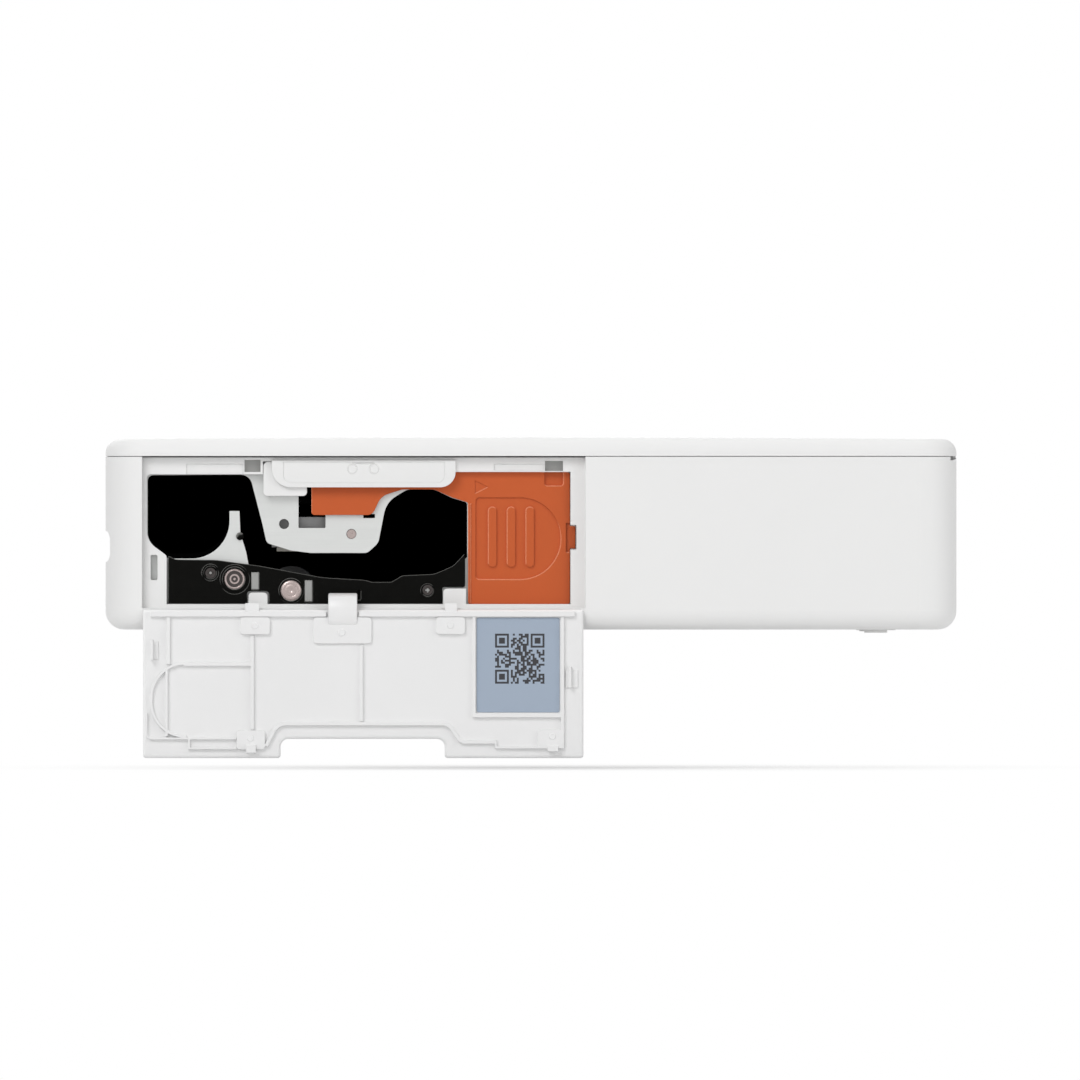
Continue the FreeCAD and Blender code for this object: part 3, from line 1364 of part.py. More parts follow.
def lid_panel():
    """Crowned lid with rounded top edges, hollow below, slotted and bored for its hinge ears."""
    lid = Moulding("lid_shell")
    lid.pad("XY", "lid_seam + seat_gap", "case_height - lid_seam - seat_gap", [plan(0)])
    half, top = S.case_length / 2 + S.overrun, S.case_height
    end = Vector(half, top - S.crown_rise, 0)
    crown = Part.Arc(Vector(-half, top - S.crown_rise, 0), Vector(0, top, 0), end)
    above = [Vector(half, top + S.overrun, 0), Vector(-half, top + S.overrun, 0),
             Vector(-half, top - S.crown_rise, 0)]
    corners = [end, *above]
    wires = [crown] + [Part.LineSegment(a, b) for a, b in zip(corners, corners[1:])]
    lid.pocket("XZ", "case_width / 2 + overrun", "case_width + 2 * overrun", [wires])
    lid.fillet("lid_round", lambda edge: edge.BoundBox.ZMin > S.case_height - 2 * S.crown_rise)
    lid.pocket("XY", "lid_seam - overrun", "case_height - lid_seam - lid_top_wall + overrun",
               [plan(S.wall)])
    tools = []
    for side in (-1, 1):
        middle = f"{side} * ear_across"
        across = (f"{middle} - ear_half_width - moving_gap", f"{middle} + ear_half_width + moving_gap")
        tools.append(block(
            f"ear_slot_{side + 1}", (f"{LID_AXIS_X} - ear_radius - moving_gap",
                                     "case_length / 2 + overrun"), across,
            ("lid_seam - overrun", f"{LID_AXIS_Z} + ear_radius + moving_gap")
        ))
        reach = f"ear_half_width + hinge_pin_reach + seat_gap"
        tools.append(rod(f"lid_pin_hole_{side + 1}", "y", "hinge_pin_radius + fit_gap",
                         f"{middle} - ({reach})", f"{middle} + {reach}", (LID_AXIS_X, LID_AXIS_Z)))
    return cut("lid_panel", lid.body, tools)


def lid_liner():
    """Thin inner panel of the lid over the paper."""
    liner = Moulding("lid_liner")
    under = "case_height - lid_top_wall - liner_thickness"
    liner.pad("XY", under, "liner_thickness", [plan(S.liner_inset)])
    return liner


def hinge_pins():
    """Two steel pins pressed through the ears, on which the lid turns."""
    reach = "ear_half_width + hinge_pin_reach"
    return group("hinge_pins", [
        rod(f"hinge_pin_{side + 1}", "y", "hinge_pin_radius", f"{side} * ear_across - ({reach})",
            f"{side} * ear_across + {reach}", (LID_AXIS_X, LID_AXIS_Z))
        for side in (-1, 1)
    ])


# Eject lever and cassette cover

def eject_lever():
    """Orange slide: an arm over the lobe, a D-shaped grip hollow with ribs, a tab in the frame's notch."""
    front = f"{SIDE} + lever_depth"
    lever = Moulding("eject_lever")
    lever.pad("XZ", f"{front} + lever_thickness", "lever_thickness", [outline(lever_px)])
    lever.pocket("XZ", f"{front} + lever_thickness - lever_tab_thickness", "overrun",
                 [window(*LEVER_RECESS_PX), window(*LEVER_TAB_STEP_PX)])
    lever.pocket("XZ", f"{front} + panel_rim", "overrun", [outline(lever_arrow_px)])
    lever.pocket("XZ", f"{front} + lever_hollow", "overrun", [outline(lever_grip_px)])
    lever.pad("XZ", f"{front} + lever_hollow", "lever_rib", [window(*place) for place in lever_ribs_px])
    lever.pad("XZ", f"{front} + lever_thickness", "lever_tab_thickness", [window(*LEVER_TAB_PX)])
    lever.pad("XZ", f"{front} + lever_thickness", "lever_thickness", [window(*LEVER_LUG_PX)])
    return lever


def lever_spring():
    """Return spring between the lever's lug and the frame's stop, as a plain rod."""
    at = (f"{SIDE} + lever_depth + lever_thickness / 2", place_z(LEVER_SPRING_PX))
    lug, stop = place_x(LEVER_LUG_PX[2]), place_x(SPRING_STOP_PX[0])
    return rod("lever_spring", "x", "lever_spring_radius", f"{lug} + fit_gap", f"{stop} - fit_gap", at)


COVER_FRONT = f"{COVER_BACK} - cover_plate"
cover_px = [
    (142.6, 609.5, 2), (583.5, 609.5, 2), (583.5, 757.8, 3), (444.6, 757.8, 3), (444.6, 738.6, 8),
    (280.3, 738.6, 8),
    (280.3, 757.8, 3), (142.6, 757.8, 3),
]
HOOK_ROOT_PX = 616
upright_ribs_px = [
    (166.2, 617, 169.8, 664), (165, 670, 167.6, 736), (250.6, 636, 253.8, 729), (360, 645, 362.8, 721),
    (472.4, 617, 475.6, 713), (561, 617, 564.2, 746), (187.8, 738, 189.8, 747), (494.8, 742, 496.8, 746),
]
level_ribs_px = [
    (150, 611.5, 326, 616.6), (359, 611.5, 575, 616.6), (183, 661.8, 250.6, 665.8),
    (472.4, 712.8, 561, 717.2),
    (187.8, 747, 236, 749), (494.8, 746, 564.2, 748.2),
]
bow_px = [(186, 735, 0), (152.3, 735, 33), (152.3, 664.4, 33), (186, 664.4, 0)]
corner_rib_px = [(236, 737.2, 0), (147.2, 737.2, 4), (147.2, 713, 0)]
arch_px = [(496.8, 739.8, 0), (461.5, 739.8, 8), (449.5, 721.6, 14), (276, 721.6, 16), (264.2, 745, 0)]
BOW_RIB_PX, CORNER_RIB_PX, ARCH_RIB_PX = 2.6, 2, 3.6
bosses_px = [(240.2, 617, 269.8, 634.2), (436, 617, 465, 634), (236.4, 730, 264.8, 749),
             (538, 729, 562, 748)]
BOSS_CORNER_PX = 3
catches_px = [(246, 744.5, 255.8, 752.5), (547.5, 745.5, 558.5, 751)]
CLAMP_PX = (313.2, 617, 371.6, 643.4, 4)
FRONT_TAB_PX = (150.4, 639.5, 152.8, 660)
FRONT_TAB_FOOT_PX = (152.8, 641, 158, 659)
REAR_TAB_PX = (569, 666.5, 571.6, 687.5)
REAR_TAB_FOOT_PX = (566, 670, 578, 687.5)
LABEL_PX = (476.6, 617.6, 559.6, 712, 2)
STRAP_PX = (328, 357)


def is_notch_edge(edge):
    """Whether an edge of the cover's plate is the notch's top edge on the outer face."""
    box, notch_top = edge.BoundBox, place_z(cover_px[4][1])
    level = abs(box.ZMin - notch_top) < S.seat_gap and abs(box.ZMax - notch_top) < S.seat_gap
    return level and box.YMax < cover_axis_y - S.cover_hinge_out - S.cover_plate / 2


def cover_panel():
    """Cassette cover in its open place: a notched plate with ribs, hooks, catches and a strap clamp."""
    cover = Moulding("cover_panel")
    cover.pad("XZ", COVER_BACK, "cover_plate", [outline(cover_px)])
    cover.fillet("cover_edge_round", is_notch_edge)
    hooks = [
        rectangle(place_x(left), place_z(HOOK_ROOT_PX), place_x(right), cover_axis_z + S.hook_reach,
                  S.seat_gap)
        for left, right in HOOK_PX
    ]
    cover.pad("XZ", COVER_BACK, "cover_plate", hooks)
    cover.pad("XZ", COVER_FRONT, "cover_rib", [window(*place) for place in upright_ribs_px])
    cover.pad("XZ", COVER_FRONT, "cover_rib", [window(*place) for place in level_ribs_px])
    cover.pad("XZ", COVER_FRONT, "cover_rib", [window(*place, BOSS_CORNER_PX) for place in bosses_px])
    for path_px, width_px in ((arch_px, ARCH_RIB_PX), (bow_px, BOW_RIB_PX), (corner_rib_px, CORNER_RIB_PX)):
        cover.pad("XZ", COVER_FRONT, "cover_rib", [band(placed(path_px), run(width_px))])
    cover.pad("XZ", COVER_FRONT, "clamp_height", [window(*CLAMP_PX)])
    cover.pad("XZ", COVER_FRONT, "clip_reach", [window(*place) for place in catches_px])
    cover.pad("XZ", COVER_FRONT, "tab_reach", [window(*FRONT_TAB_PX)])
    cover.pad("XZ", COVER_FRONT, "rear_tab_reach", [window(*REAR_TAB_PX)])
    cover.pad("XZ", COVER_FRONT, "2 * panel_rim", [window(*FRONT_TAB_FOOT_PX), window(*REAR_TAB_FOOT_PX)])
    return cover


def cover_label():
    """Thin label on the cover's inner face."""
    label = Moulding("cover_label")
    label.pad("XZ", COVER_FRONT, "label_thickness", [window(*LABEL_PX)])
    return label


def cover_strap():
    """Flexible strap, half round about the cover's axis, from the lower frame over the sill to the clamp."""
    y, z, radius = cover_axis_y, cover_axis_z, S.strap_radius
    foot = -S.case_width / 2 + S.frame_plate_depth - S.fit_gap
    clamp = -S.case_width / 2 - 2 * S.cover_hinge_out - S.cover_plate - S.clamp_height
    path = [
        (clamp, z - S.strap_tail, 0), (y - radius, z - S.strap_tail, S.seat_gap),
        (y - radius, z + radius, radius),
        (y + radius, z + radius, S.strap_thickness / 2), (y + radius, z + radius / 2, S.seat_gap),
        (foot, z + radius / 2, 0),
    ]
    strap = Moulding("cover_strap")
    left, right = (place_x(px) for px in STRAP_PX)
    strap.pad("YZ", f"{left}", f"{right - left}", [band(path, S.strap_thickness)])
    return strap


BUILDERS = (
    lower_case, feet, case_screws, bay_frame, catch_plates, label_panel, label_block, side_plate,
    far_side_plate,
    lower_frame, bush_clips, frame_screws, channel_guide, floor_guide, turn_guide, paper_deck, exit_guide,
    platen_shaft,
    platen_sleeve, capstan_roller, pinch_roller, pick_roller, roller_bushes, gear_axles, drive_motor,
    motor_shaft,
    thermal_strip, head_sink, head_pin, head_beam, head_springs, battery_pack, main_board, board_chips,
    port_board,
    usb_socket, power_button, button_switch, light_pipe, lid_panel, lid_liner, hinge_pins, eject_lever,
    lever_spring,
    cover_panel, cover_label, cover_strap,
)

for build in BUILDERS:
    keep(build.__name__, build())
for name, item in gears().items():
    keep(name, item)
keep("supply_guide", guide("supply_guide", supply_wall_px, (supply_x, supply_z)))
keep("take_up_guide", guide("take_up_guide", take_up_wall_px, (take_up_x, take_up_z)))
keep("take_up_spindle", spindle("take_up_spindle", (take_up_x, take_up_z), f"{GEAR_B[1]} + gear_gap"))
keep("supply_spindle", spindle("supply_spindle", (supply_x, supply_z), FAR_PLATE_BACK))

doc.recompute()
for item in doc.Objects:
    assert not {"Invalid", "Error"} & set(item.State), f"{item.Label} failed: {item.State}"
os.makedirs("parts", exist_ok=True)
for name, item in parts.items():
    shape = item.Shape
    assert not shape.isNull() and shape.isValid() and shape.Solids, f"{name} is not a sound solid"
    shape.exportStep(f"parts/{name}.step")
print(len(parts), "sub-parts")
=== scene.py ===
# %% [markdown]
# A pocket photo printer, seen square on from its cassette side with the cover hanging open.
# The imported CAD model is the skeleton: every node keeps its place, and this lesson dresses it.
# Lengths in Blender are metres, and the photograph's pixel columns and rows give the places.

# %% Load the frame
import json
import math

import bmesh
import bpy
import numpy as np
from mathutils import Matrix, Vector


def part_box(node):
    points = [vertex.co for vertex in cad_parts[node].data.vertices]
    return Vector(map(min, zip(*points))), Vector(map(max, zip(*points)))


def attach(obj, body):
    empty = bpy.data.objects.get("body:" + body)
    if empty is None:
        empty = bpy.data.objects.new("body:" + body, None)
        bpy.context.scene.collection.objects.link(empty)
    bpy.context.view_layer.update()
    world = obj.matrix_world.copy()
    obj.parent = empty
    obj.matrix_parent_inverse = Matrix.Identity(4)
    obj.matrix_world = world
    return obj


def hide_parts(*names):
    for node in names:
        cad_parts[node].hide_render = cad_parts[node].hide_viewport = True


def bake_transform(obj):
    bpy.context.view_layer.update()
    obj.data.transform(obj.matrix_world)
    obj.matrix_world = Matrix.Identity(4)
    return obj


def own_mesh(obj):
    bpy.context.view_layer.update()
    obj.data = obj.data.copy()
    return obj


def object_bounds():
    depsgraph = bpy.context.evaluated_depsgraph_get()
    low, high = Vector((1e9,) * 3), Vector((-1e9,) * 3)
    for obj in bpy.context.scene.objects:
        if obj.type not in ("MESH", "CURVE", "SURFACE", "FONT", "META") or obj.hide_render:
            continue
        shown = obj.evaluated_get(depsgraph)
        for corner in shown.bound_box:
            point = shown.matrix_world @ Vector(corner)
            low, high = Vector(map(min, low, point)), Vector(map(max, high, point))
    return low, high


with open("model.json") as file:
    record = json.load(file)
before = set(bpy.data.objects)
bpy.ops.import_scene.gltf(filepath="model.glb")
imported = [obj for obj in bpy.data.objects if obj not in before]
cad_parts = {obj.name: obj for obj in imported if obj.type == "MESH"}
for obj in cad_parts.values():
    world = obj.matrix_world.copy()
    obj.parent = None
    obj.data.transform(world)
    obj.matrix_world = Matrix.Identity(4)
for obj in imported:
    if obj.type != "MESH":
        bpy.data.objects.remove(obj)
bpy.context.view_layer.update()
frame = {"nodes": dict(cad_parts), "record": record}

MM = 0.001

# %% [markdown]
# The photograph is 1080 pixels square. Its case is 853 pixels long for 145.8 mm, and 192 high for
# 32.9 mm, so two short functions turn a column or a row into a place on the object.

# %% Photograph places
PHOTO_PX = 1080
CASE_MIDDLE_PX = 531.0
UNDER_PX = 629.5
PX_WIDE = 145.8 * MM / 853
PX_HIGH = 32.9 * MM / 192
FRONT = -51.1 * MM


def col(px):
    return (px - CASE_MIDDLE_PX) * PX_WIDE


def row(py):
    return (UNDER_PX - py) * PX_HIGH


# %% [markdown]
# Node trees are easier to read when one call makes a node, sets it and links what feeds it.

# %% Node helper
def add(tree, kind, inputs=None, **settings):
    """Make a node, set its properties, and link or set its inputs by name or number."""
    made = tree.nodes.new(kind)
    for name, value in settings.items():
        setattr(made, name, value)
    for key, value in (inputs or {}).items():
        if isinstance(value, bpy.types.NodeSocket):
            tree.links.new(value, made.inputs[key])
        else:
            made.inputs[key].default_value = value
    return made


def group(name, inputs, outputs):
    """Start a shader node group from {socket: (kind, default)} inputs and {socket: kind} outputs."""
    tree = bpy.data.node_groups.new(name, "ShaderNodeTree")
    for socket, (kind, default) in inputs.items():
        tree.interface.new_socket(socket, in_out="INPUT", socket_type=kind).default_value = default
    for socket, kind in outputs.items():
        tree.interface.new_socket(socket, in_out="OUTPUT", socket_type=kind)
    return tree, tree.nodes.new("NodeGroupInput").outputs, tree.nodes.new("NodeGroupOutput")


FLOAT, COLOUR, VECTOR = "NodeSocketFloat", "NodeSocketColor", "NodeSocketVector"

# %% [markdown]
# Injection-moulded plastic has a spark-eroded grain a fifth of a millimetre wide, and a slow, faint
# unevenness where the wall thickness changes. Both come from noise on Object coordinates: the fine
# noise feeds a bump and the gloss, and the slow one shifts the colour by a percent or two. No
# moulding has knife edges either, so a Bevel node rounds the normal near every edge first.

# %% Effect: moulded grain
tree, given, out = group(
    "moulded grain",
    {"Colour": (COLOUR, (0.8, 0.8, 0.8, 1)), "Grain": (FLOAT, 5500.0), "Depth": (FLOAT, 0.08),
     "Gloss": (FLOAT, 0.45), "Unevenness": (FLOAT, 0.03), "Edge": (FLOAT, 0.00014)},
    {"Colour": COLOUR, "Roughness": FLOAT, "Normal": VECTOR},
)
place = add(tree, "ShaderNodeTexCoord").outputs["Object"]
broken = add(tree, "ShaderNodeBevel", {"Radius": given["Edge"]}, samples=4).outputs["Normal"]
fine = add(tree, "ShaderNodeTexNoise", {"Vector": place, "Scale": given["Grain"], "Detail": 2.0}).outputs["Fac"]
slow = add(tree, "ShaderNodeTexNoise", {"Vector": place, "Scale": 45.0, "Detail": 3.0}).outputs["Fac"]
middle = add(tree, "ShaderNodeMath", {0: slow, 1: 0.5}, operation="SUBTRACT").outputs[0]
shift = add(tree, "ShaderNodeMath", {0: middle, 1: given["Unevenness"], 2: 1.0}, operation="MULTIPLY_ADD").outputs[0]
shade = add(tree, "ShaderNodeHueSaturation", {"Color": given["Colour"], "Value": shift}).outputs["Color"]
tree.links.new(shade, out.inputs["Colour"])
speck = add(tree, "ShaderNodeMapRange", {"Value": fine, "To Min": -0.05, "To Max": 0.05}).outputs["Result"]
drift = add(tree, "ShaderNodeMath", {0: middle, 1: 0.15, 2: speck}, operation="MULTIPLY_ADD").outputs[0]
gloss = add(tree, "ShaderNodeMath", {0: drift, 1: given["Gloss"]}, operation="ADD", use_clamp=True).outputs[0]
tree.links.new(gloss, out.inputs["Roughness"])
bump = add(tree, "ShaderNodeBump", {
    "Height": fine, "Strength": given["Depth"], "Distance": 0.00005, "Normal": broken
}).outputs["Normal"]
tree.links.new(bump, out.inputs["Normal"])

# %% [markdown]
# Rolled sheet and turned shafts carry fine parallel marks. Stretching the noise's coordinates a
# hundredfold along one axis turns its specks into such marks.

# %% Effect: tool marks
tree, given, out = group(
    "tool marks",
    {"Colour": (COLOUR, (0.6, 0.6, 0.6, 1)), "Stretch": (VECTOR, (1, 1, 1)), "Depth": (FLOAT, 0.1),
     "Gloss": (FLOAT, 0.3), "Contrast": (FLOAT, 0.15), "Edge": (FLOAT, 0.0001)},
    {"Colour": COLOUR, "Roughness": FLOAT, "Normal": VECTOR},
)
place = add(tree, "ShaderNodeTexCoord").outputs["Object"]
broken = add(tree, "ShaderNodeBevel", {"Radius": given["Edge"]}, samples=4).outputs["Normal"]
drawn = add(tree, "ShaderNodeVectorMath", {0: place, 1: given["Stretch"]}, operation="MULTIPLY").outputs[0]
marks = add(tree, "ShaderNodeTexNoise", {"Vector": drawn, "Scale": 4000.0, "Detail": 3.0}).outputs["Fac"]
middle = add(tree, "ShaderNodeMath", {0: marks, 1: 0.5}, operation="SUBTRACT").outputs[0]
shift = add(tree, "ShaderNodeMath", {0: middle, 1: given["Contrast"], 2: 1.0}, operation="MULTIPLY_ADD").outputs[0]
shade = add(tree, "ShaderNodeHueSaturation", {"Color": given["Colour"], "Value": shift}).outputs["Color"]
tree.links.new(shade, out.inputs["Colour"])
gloss = add(tree, "ShaderNodeMath", {0: middle, 1: 0.3, 2: given["Gloss"]}, operation="MULTIPLY_ADD",
            use_clamp=True).outputs[0]
tree.links.new(gloss, out.inputs["Roughness"])
bump = add(tree, "ShaderNodeBump", {
    "Height": marks, "Strength": given["Depth"], "Distance": 0.00003, "Normal": broken
}).outputs["Normal"]
tree.links.new(bump, out.inputs["Normal"])

# %% [markdown]
# Dust settles on faces that look up and in the grain's hollows. The mask is the normal's upward
# part times a patchy noise, so it can whiten a black plastic without painting it evenly.

# %% Effect: dust
tree, given, out = group(
    "dust", {"Amount": (FLOAT, 0.1), "Colour": (COLOUR, (0.03, 0.03, 0.03, 1))}, {"Colour": COLOUR}
)
up = add(tree, "ShaderNodeSeparateXYZ", {0: add(tree, "ShaderNodeNewGeometry").outputs["Normal"]}).outputs["Z"]
lying = add(tree, "ShaderNodeMapRange", {"Value": up, "From Min": -0.2, "From Max": 1.0}).outputs["Result"]
place = add(tree, "ShaderNodeTexCoord").outputs["Object"]
patch = add(tree, "ShaderNodeTexNoise", {"Vector": place, "Scale": 700.0, "Detail": 5.0}).outputs["Fac"]
thick = add(tree, "ShaderNodeMapRange", {"Value": patch, "From Min": 0.4, "From Max": 0.7}).outputs["Result"]
mask = add(tree, "ShaderNodeMath", {0: lying, 1: thick}, operation="MULTIPLY").outputs[0]
mask = add(tree, "ShaderNodeMath", {0: mask, 1: given["Amount"]}, operation="MULTIPLY").outputs[0]
mixed = add(tree, "ShaderNodeMix", {"Factor": mask, 6: given["Colour"], 7: (0.5, 0.49, 0.47, 1)}, data_type="RGBA")
tree.links.new(mixed.outputs[2], out.inputs["Colour"])

# %% [markdown]
# A rounded edge shows as a thin light line, since some part of it always mirrors a lamp. This group
# paints that highlight into the base colour. Its mask is the tilt of the bevelled normal away from the
# viewing axis Y: one minus its Y part's size. A share called Lit Side keeps the painted highlight to
# edges that also turn up and left, to where the key lamp stands.

# %% Effect: painted edge highlight
tree, given, out = group(
    "edge light",
    {"Colour": (COLOUR, (0.03, 0.03, 0.03, 1)), "Edge Colour": (COLOUR, (0.1, 0.1, 0.1, 1)), "Edge": (FLOAT, 0.0003),
     "Amount": (FLOAT, 1.0), "Lit Side": (FLOAT, 1.0)},
    {"Colour": COLOUR},
)
rounded = add(tree, "ShaderNodeBevel", {"Radius": given["Edge"]}, samples=6).outputs["Normal"]
lean = add(tree, "ShaderNodeSeparateXYZ", {0: rounded}).outputs
flat = add(tree, "ShaderNodeMath", {0: lean["Y"]}, operation="ABSOLUTE").outputs[0]
tilt = add(tree, "ShaderNodeMapRange", {"Value": flat, "From Min": 0.99, "From Max": 0.75}).outputs["Result"]
toward = add(tree, "ShaderNodeVectorMath", {0: rounded, 1: (-0.5, 0, 0.85)}, operation="DOT_PRODUCT").outputs["Value"]
risen = add(tree, "ShaderNodeMapRange", {"Value": toward, "From Min": 0.05, "From Max": 0.3}).outputs["Result"]
kept = add(tree, "ShaderNodeMix", {0: given["Lit Side"], 2: 1.0, 3: risen}).outputs[0]
mask = add(tree, "ShaderNodeMath", {0: tilt, 1: kept}, operation="MULTIPLY").outputs[0]
mask = add(tree, "ShaderNodeMath", {0: mask, 1: given["Amount"]}, operation="MULTIPLY").outputs[0]
mixed = add(tree, "ShaderNodeMix", {"Factor": mask, 6: given["Colour"], 7: given["Edge Colour"]}, data_type="RGBA")
tree.links.new(mixed.outputs[2], out.inputs["Colour"])

# %% [markdown]
# Each finish is one Principled shader fed by an effect group. Numbers that are the same all over
# the surface, such as metalness, are set on the shader's own sockets.

# %% Finishes
def finish(name, effect, values, dust=0.0, edge=None, **sockets):
    """A material: one effect group into a Principled shader, with plain sockets set by name."""
    material = bpy.data.materials.new(name)
    material.use_nodes = True
    tree = material.node_tree
    shader = tree.nodes["Principled BSDF"]
    worked = add(tree, "ShaderNodeGroup", node_tree=bpy.data.node_groups[effect])
    for socket, value in values.items():
        worked.inputs[socket].default_value = (*value, 1) if socket == "Colour" else value
    colour = worked.outputs["Colour"]
    if dust:
        dusty = add(tree, "ShaderNodeGroup", node_tree=bpy.data.node_groups["dust"])
        dusty.inputs["Amount"].default_value = dust
        tree.links.new(colour, dusty.inputs["Colour"])
        colour = dusty.outputs["Colour"]
    # An edge setting adds the painted edge highlight: a lighter colour painted into the base colour along edges turned
    # toward the key lamp.
    if edge:
        highlight_paint = add(tree, "ShaderNodeGroup", node_tree=bpy.data.node_groups["edge light"])
        for socket, value in edge.items():
            highlight_paint.inputs[socket].default_value = (*value, 1) if socket == "Edge Colour" else value
        tree.links.new(colour, highlight_paint.inputs["Colour"])
        colour = highlight_paint.outputs["Colour"]
    tree.links.new(colour, shader.inputs["Base Color"])
    tree.links.new(worked.outputs["Roughness"], shader.inputs["Roughness"])
    tree.links.new(worked.outputs["Normal"], shader.inputs["Normal"])
    for socket, value in sockets.items():
        shader.inputs[socket.replace("_", " ")].default_value = value
    return material


SMOOTH = {"Grain": 7000.0, "Depth": 0.03}
# The edge settings on the cover, orange and black plastics paint highlight lines into their colour along lit edges.
FINISHES = {
    "white_shell": finish("white shell", "moulded grain", {"Colour": (0.87, 0.87, 0.865), "Gloss": 0.5}),
    "white_inner": finish("white inner", "moulded grain", {"Colour": (0.85, 0.85, 0.845), "Gloss": 0.42, **SMOOTH}),
    "foot_plastic": finish("foot plastic", "moulded grain", {"Colour": (0.8, 0.8, 0.79), "Gloss": 0.55}),
    "cover_plastic": finish("cover plastic", "moulded grain", {"Colour": (0.86, 0.86, 0.86), "Gloss": 0.4, **SMOOTH},
                            edge={"Edge Colour": (1, 1, 1), "Edge": 0.0002}),
    "strap_plastic": finish("strap plastic", "moulded grain", {"Colour": (0.86, 0.86, 0.86), "Gloss": 0.35, **SMOOTH}),
    "orange_plastic": finish(
        "orange plastic", "moulded grain", {"Colour": (0.56, 0.1, 0.018), "Gloss": 0.45, "Depth": 0.06},
        edge={"Edge Colour": (1, 0.42, 0.24), "Edge": 0.0003}, Specular_IOR_Level=0.35
    ),
    "black_plastic": finish(
        "black plastic", "moulded grain", {"Colour": (0.0035, 0.0035, 0.003), "Gloss": 0.45, "Depth": 0.1}, dust=0.01,
        edge={"Edge Colour": (0.2, 0.2, 0.19), "Edge": 0.0003}, Specular_IOR_Level=0.04
    ),
    # Painted shade: this black is darker than the black plastic and has no specular, so the tunnels and guides deep in
    # the bay read as shade.
    "black_inner": finish(
        "shade-darkened black plastic", "moulded grain", {"Colour": (0.0012, 0.0012, 0.0012), "Gloss": 0.6, "Depth": 0.1},
        Specular_IOR_Level=0.0
    ),
    "black_steel": finish(
        "blackened steel", "tool marks", {"Colour": (0.05, 0.042, 0.04), "Gloss": 0.4}, Specular_IOR_Level=0.3
    ),
    "coated_steel": finish(
        "black coated sheet", "tool marks", {"Colour": (0.0015, 0.0015, 0.0015), "Gloss": 0.6},
        Specular_IOR_Level=0.0
    ),
    # Partly painted shade: this grey is kept dark so the catch plates seen through the bay's catch openings also stand
    # in for the shade in them.
    "dull_steel": finish(
        "dull steel", "tool marks", {"Colour": (0.4, 0.4, 0.39), "Stretch": (0.05, 1, 1), "Gloss": 0.55}
    ),
    "grey_plastic": finish("grey plastic", "moulded grain", {"Colour": (0.36, 0.36, 0.35), "Gloss": 0.4, **SMOOTH}),
    "gear_plastic": finish("gear plastic", "moulded grain", {"Colour": (0.74, 0.72, 0.65), "Gloss": 0.35, **SMOOTH}),
    "rubber": finish("rubber", "moulded grain", {"Colour": (0.03, 0.03, 0.03), "Gloss": 0.7, "Depth": 0.2}),
    "battery_wrap": finish("battery wrap", "moulded grain", {"Colour": (0.05, 0.06, 0.08), "Gloss": 0.3, **SMOOTH}),
    "board": finish("board lacquer", "moulded grain", {"Colour": (0.01, 0.09, 0.04), "Gloss": 0.25, **SMOOTH}),
    "chips": finish("chip package", "moulded grain", {"Colour": (0.02, 0.02, 0.02), "Gloss": 0.5, "Depth": 0.2}),
    "ceramic": finish("ceramic", "moulded grain", {"Colour": (0.7, 0.68, 0.6), "Gloss": 0.15, **SMOOTH}),
    "clear_plastic": finish(
        "clear plastic", "moulded grain", {"Colour": (0.8, 0.86, 0.86), "Gloss": 0.12, **SMOOTH}, IOR=1.49
    ),
    "steel": finish(
        "turned steel", "tool marks", {"Colour": (0.42, 0.35, 0.335), "Stretch": (1, 0.02, 1), "Gloss": 0.3},
        Metallic=1.0
    ),
    "plate_steel": finish(
        "plated sheet", "tool marks",
        {"Colour": (0.62, 0.63, 0.62), "Stretch": (0.03, 1, 1), "Gloss": 0.42, "Contrast": 0.08}, Metallic=0.85
    ),
    "motor_can": finish(
        "drawn steel can", "tool marks", {"Colour": (0.5, 0.5, 0.51), "Stretch": (1, 0.03, 1), "Gloss": 0.35},
        Metallic=1.0
    ),
    "aluminium": finish(
        "extruded aluminium", "tool marks", {"Colour": (0.26, 0.26, 0.26), "Stretch": (1, 0.01, 1), "Gloss": 0.35},
        Metallic=1.0
    ),
}
print("finishes:", len(FINISHES))

# %% [markdown]
# The cover's label carries a patch of small dark squares in the photograph. Here the patch is a
# chance pattern that encodes nothing: the coordinates are snapped to a grid of cells, white noise
# says which cells are dark, and three corners hold plain nested squares.

# %% Effect: chance squares
CODE_LEFT, CODE_RIGHT, CODE_TOP, CODE_BOTTOM = col(495), col(544.5), row(633.5), row(683.5)
CODE_CELLS = 25
CORNER_CELLS = 7
NOISE_LAYER = 3.7
LIGHT_SHARE = 0.48
CORE_REACH, RING_AT, RING_HALF, CORNER_REACH = 1.5, 3.0, 0.4, 4.5


def chained(tree, operation, first, *rest):
    """One math operation carried along several values."""
    for value in rest:
        first = add(tree, "ShaderNodeMath", {0: first, 1: value}, operation=operation).outputs[0]
    return first


tree, given, out = group("chance squares", {"Cells": (FLOAT, float(CODE_CELLS))}, {"Dark": FLOAT})
parts_of = add(tree, "ShaderNodeSeparateXYZ", {0: add(tree, "ShaderNodeTexCoord").outputs["Object"]}).outputs
spans = {"X": (CODE_LEFT, CODE_RIGHT), "Z": (CODE_TOP, CODE_BOTTOM)}
cell, inside = {}, []
for axis, (low, high) in spans.items():
    share = add(tree, "ShaderNodeMapRange", {"Value": parts_of[axis], "From Min": low, "From Max": high}, clamp=False)
    scaled = chained(tree, "MULTIPLY", share.outputs["Result"], given["Cells"])
    cell[axis] = chained(tree, "FLOOR", scaled, 0.0)
    inside.append(chained(tree, "GREATER_THAN", cell[axis], -0.5))
    inside.append(chained(tree, "LESS_THAN", cell[axis], CODE_CELLS - 0.5))
spot = add(tree, "ShaderNodeCombineXYZ", {0: cell["X"], 1: cell["Z"], 2: NOISE_LAYER}).outputs[0]
chance = add(tree, "ShaderNodeTexWhiteNoise", {"Vector": spot}).outputs["Value"]
dark = chained(tree, "GREATER_THAN", chance, LIGHT_SHARE)
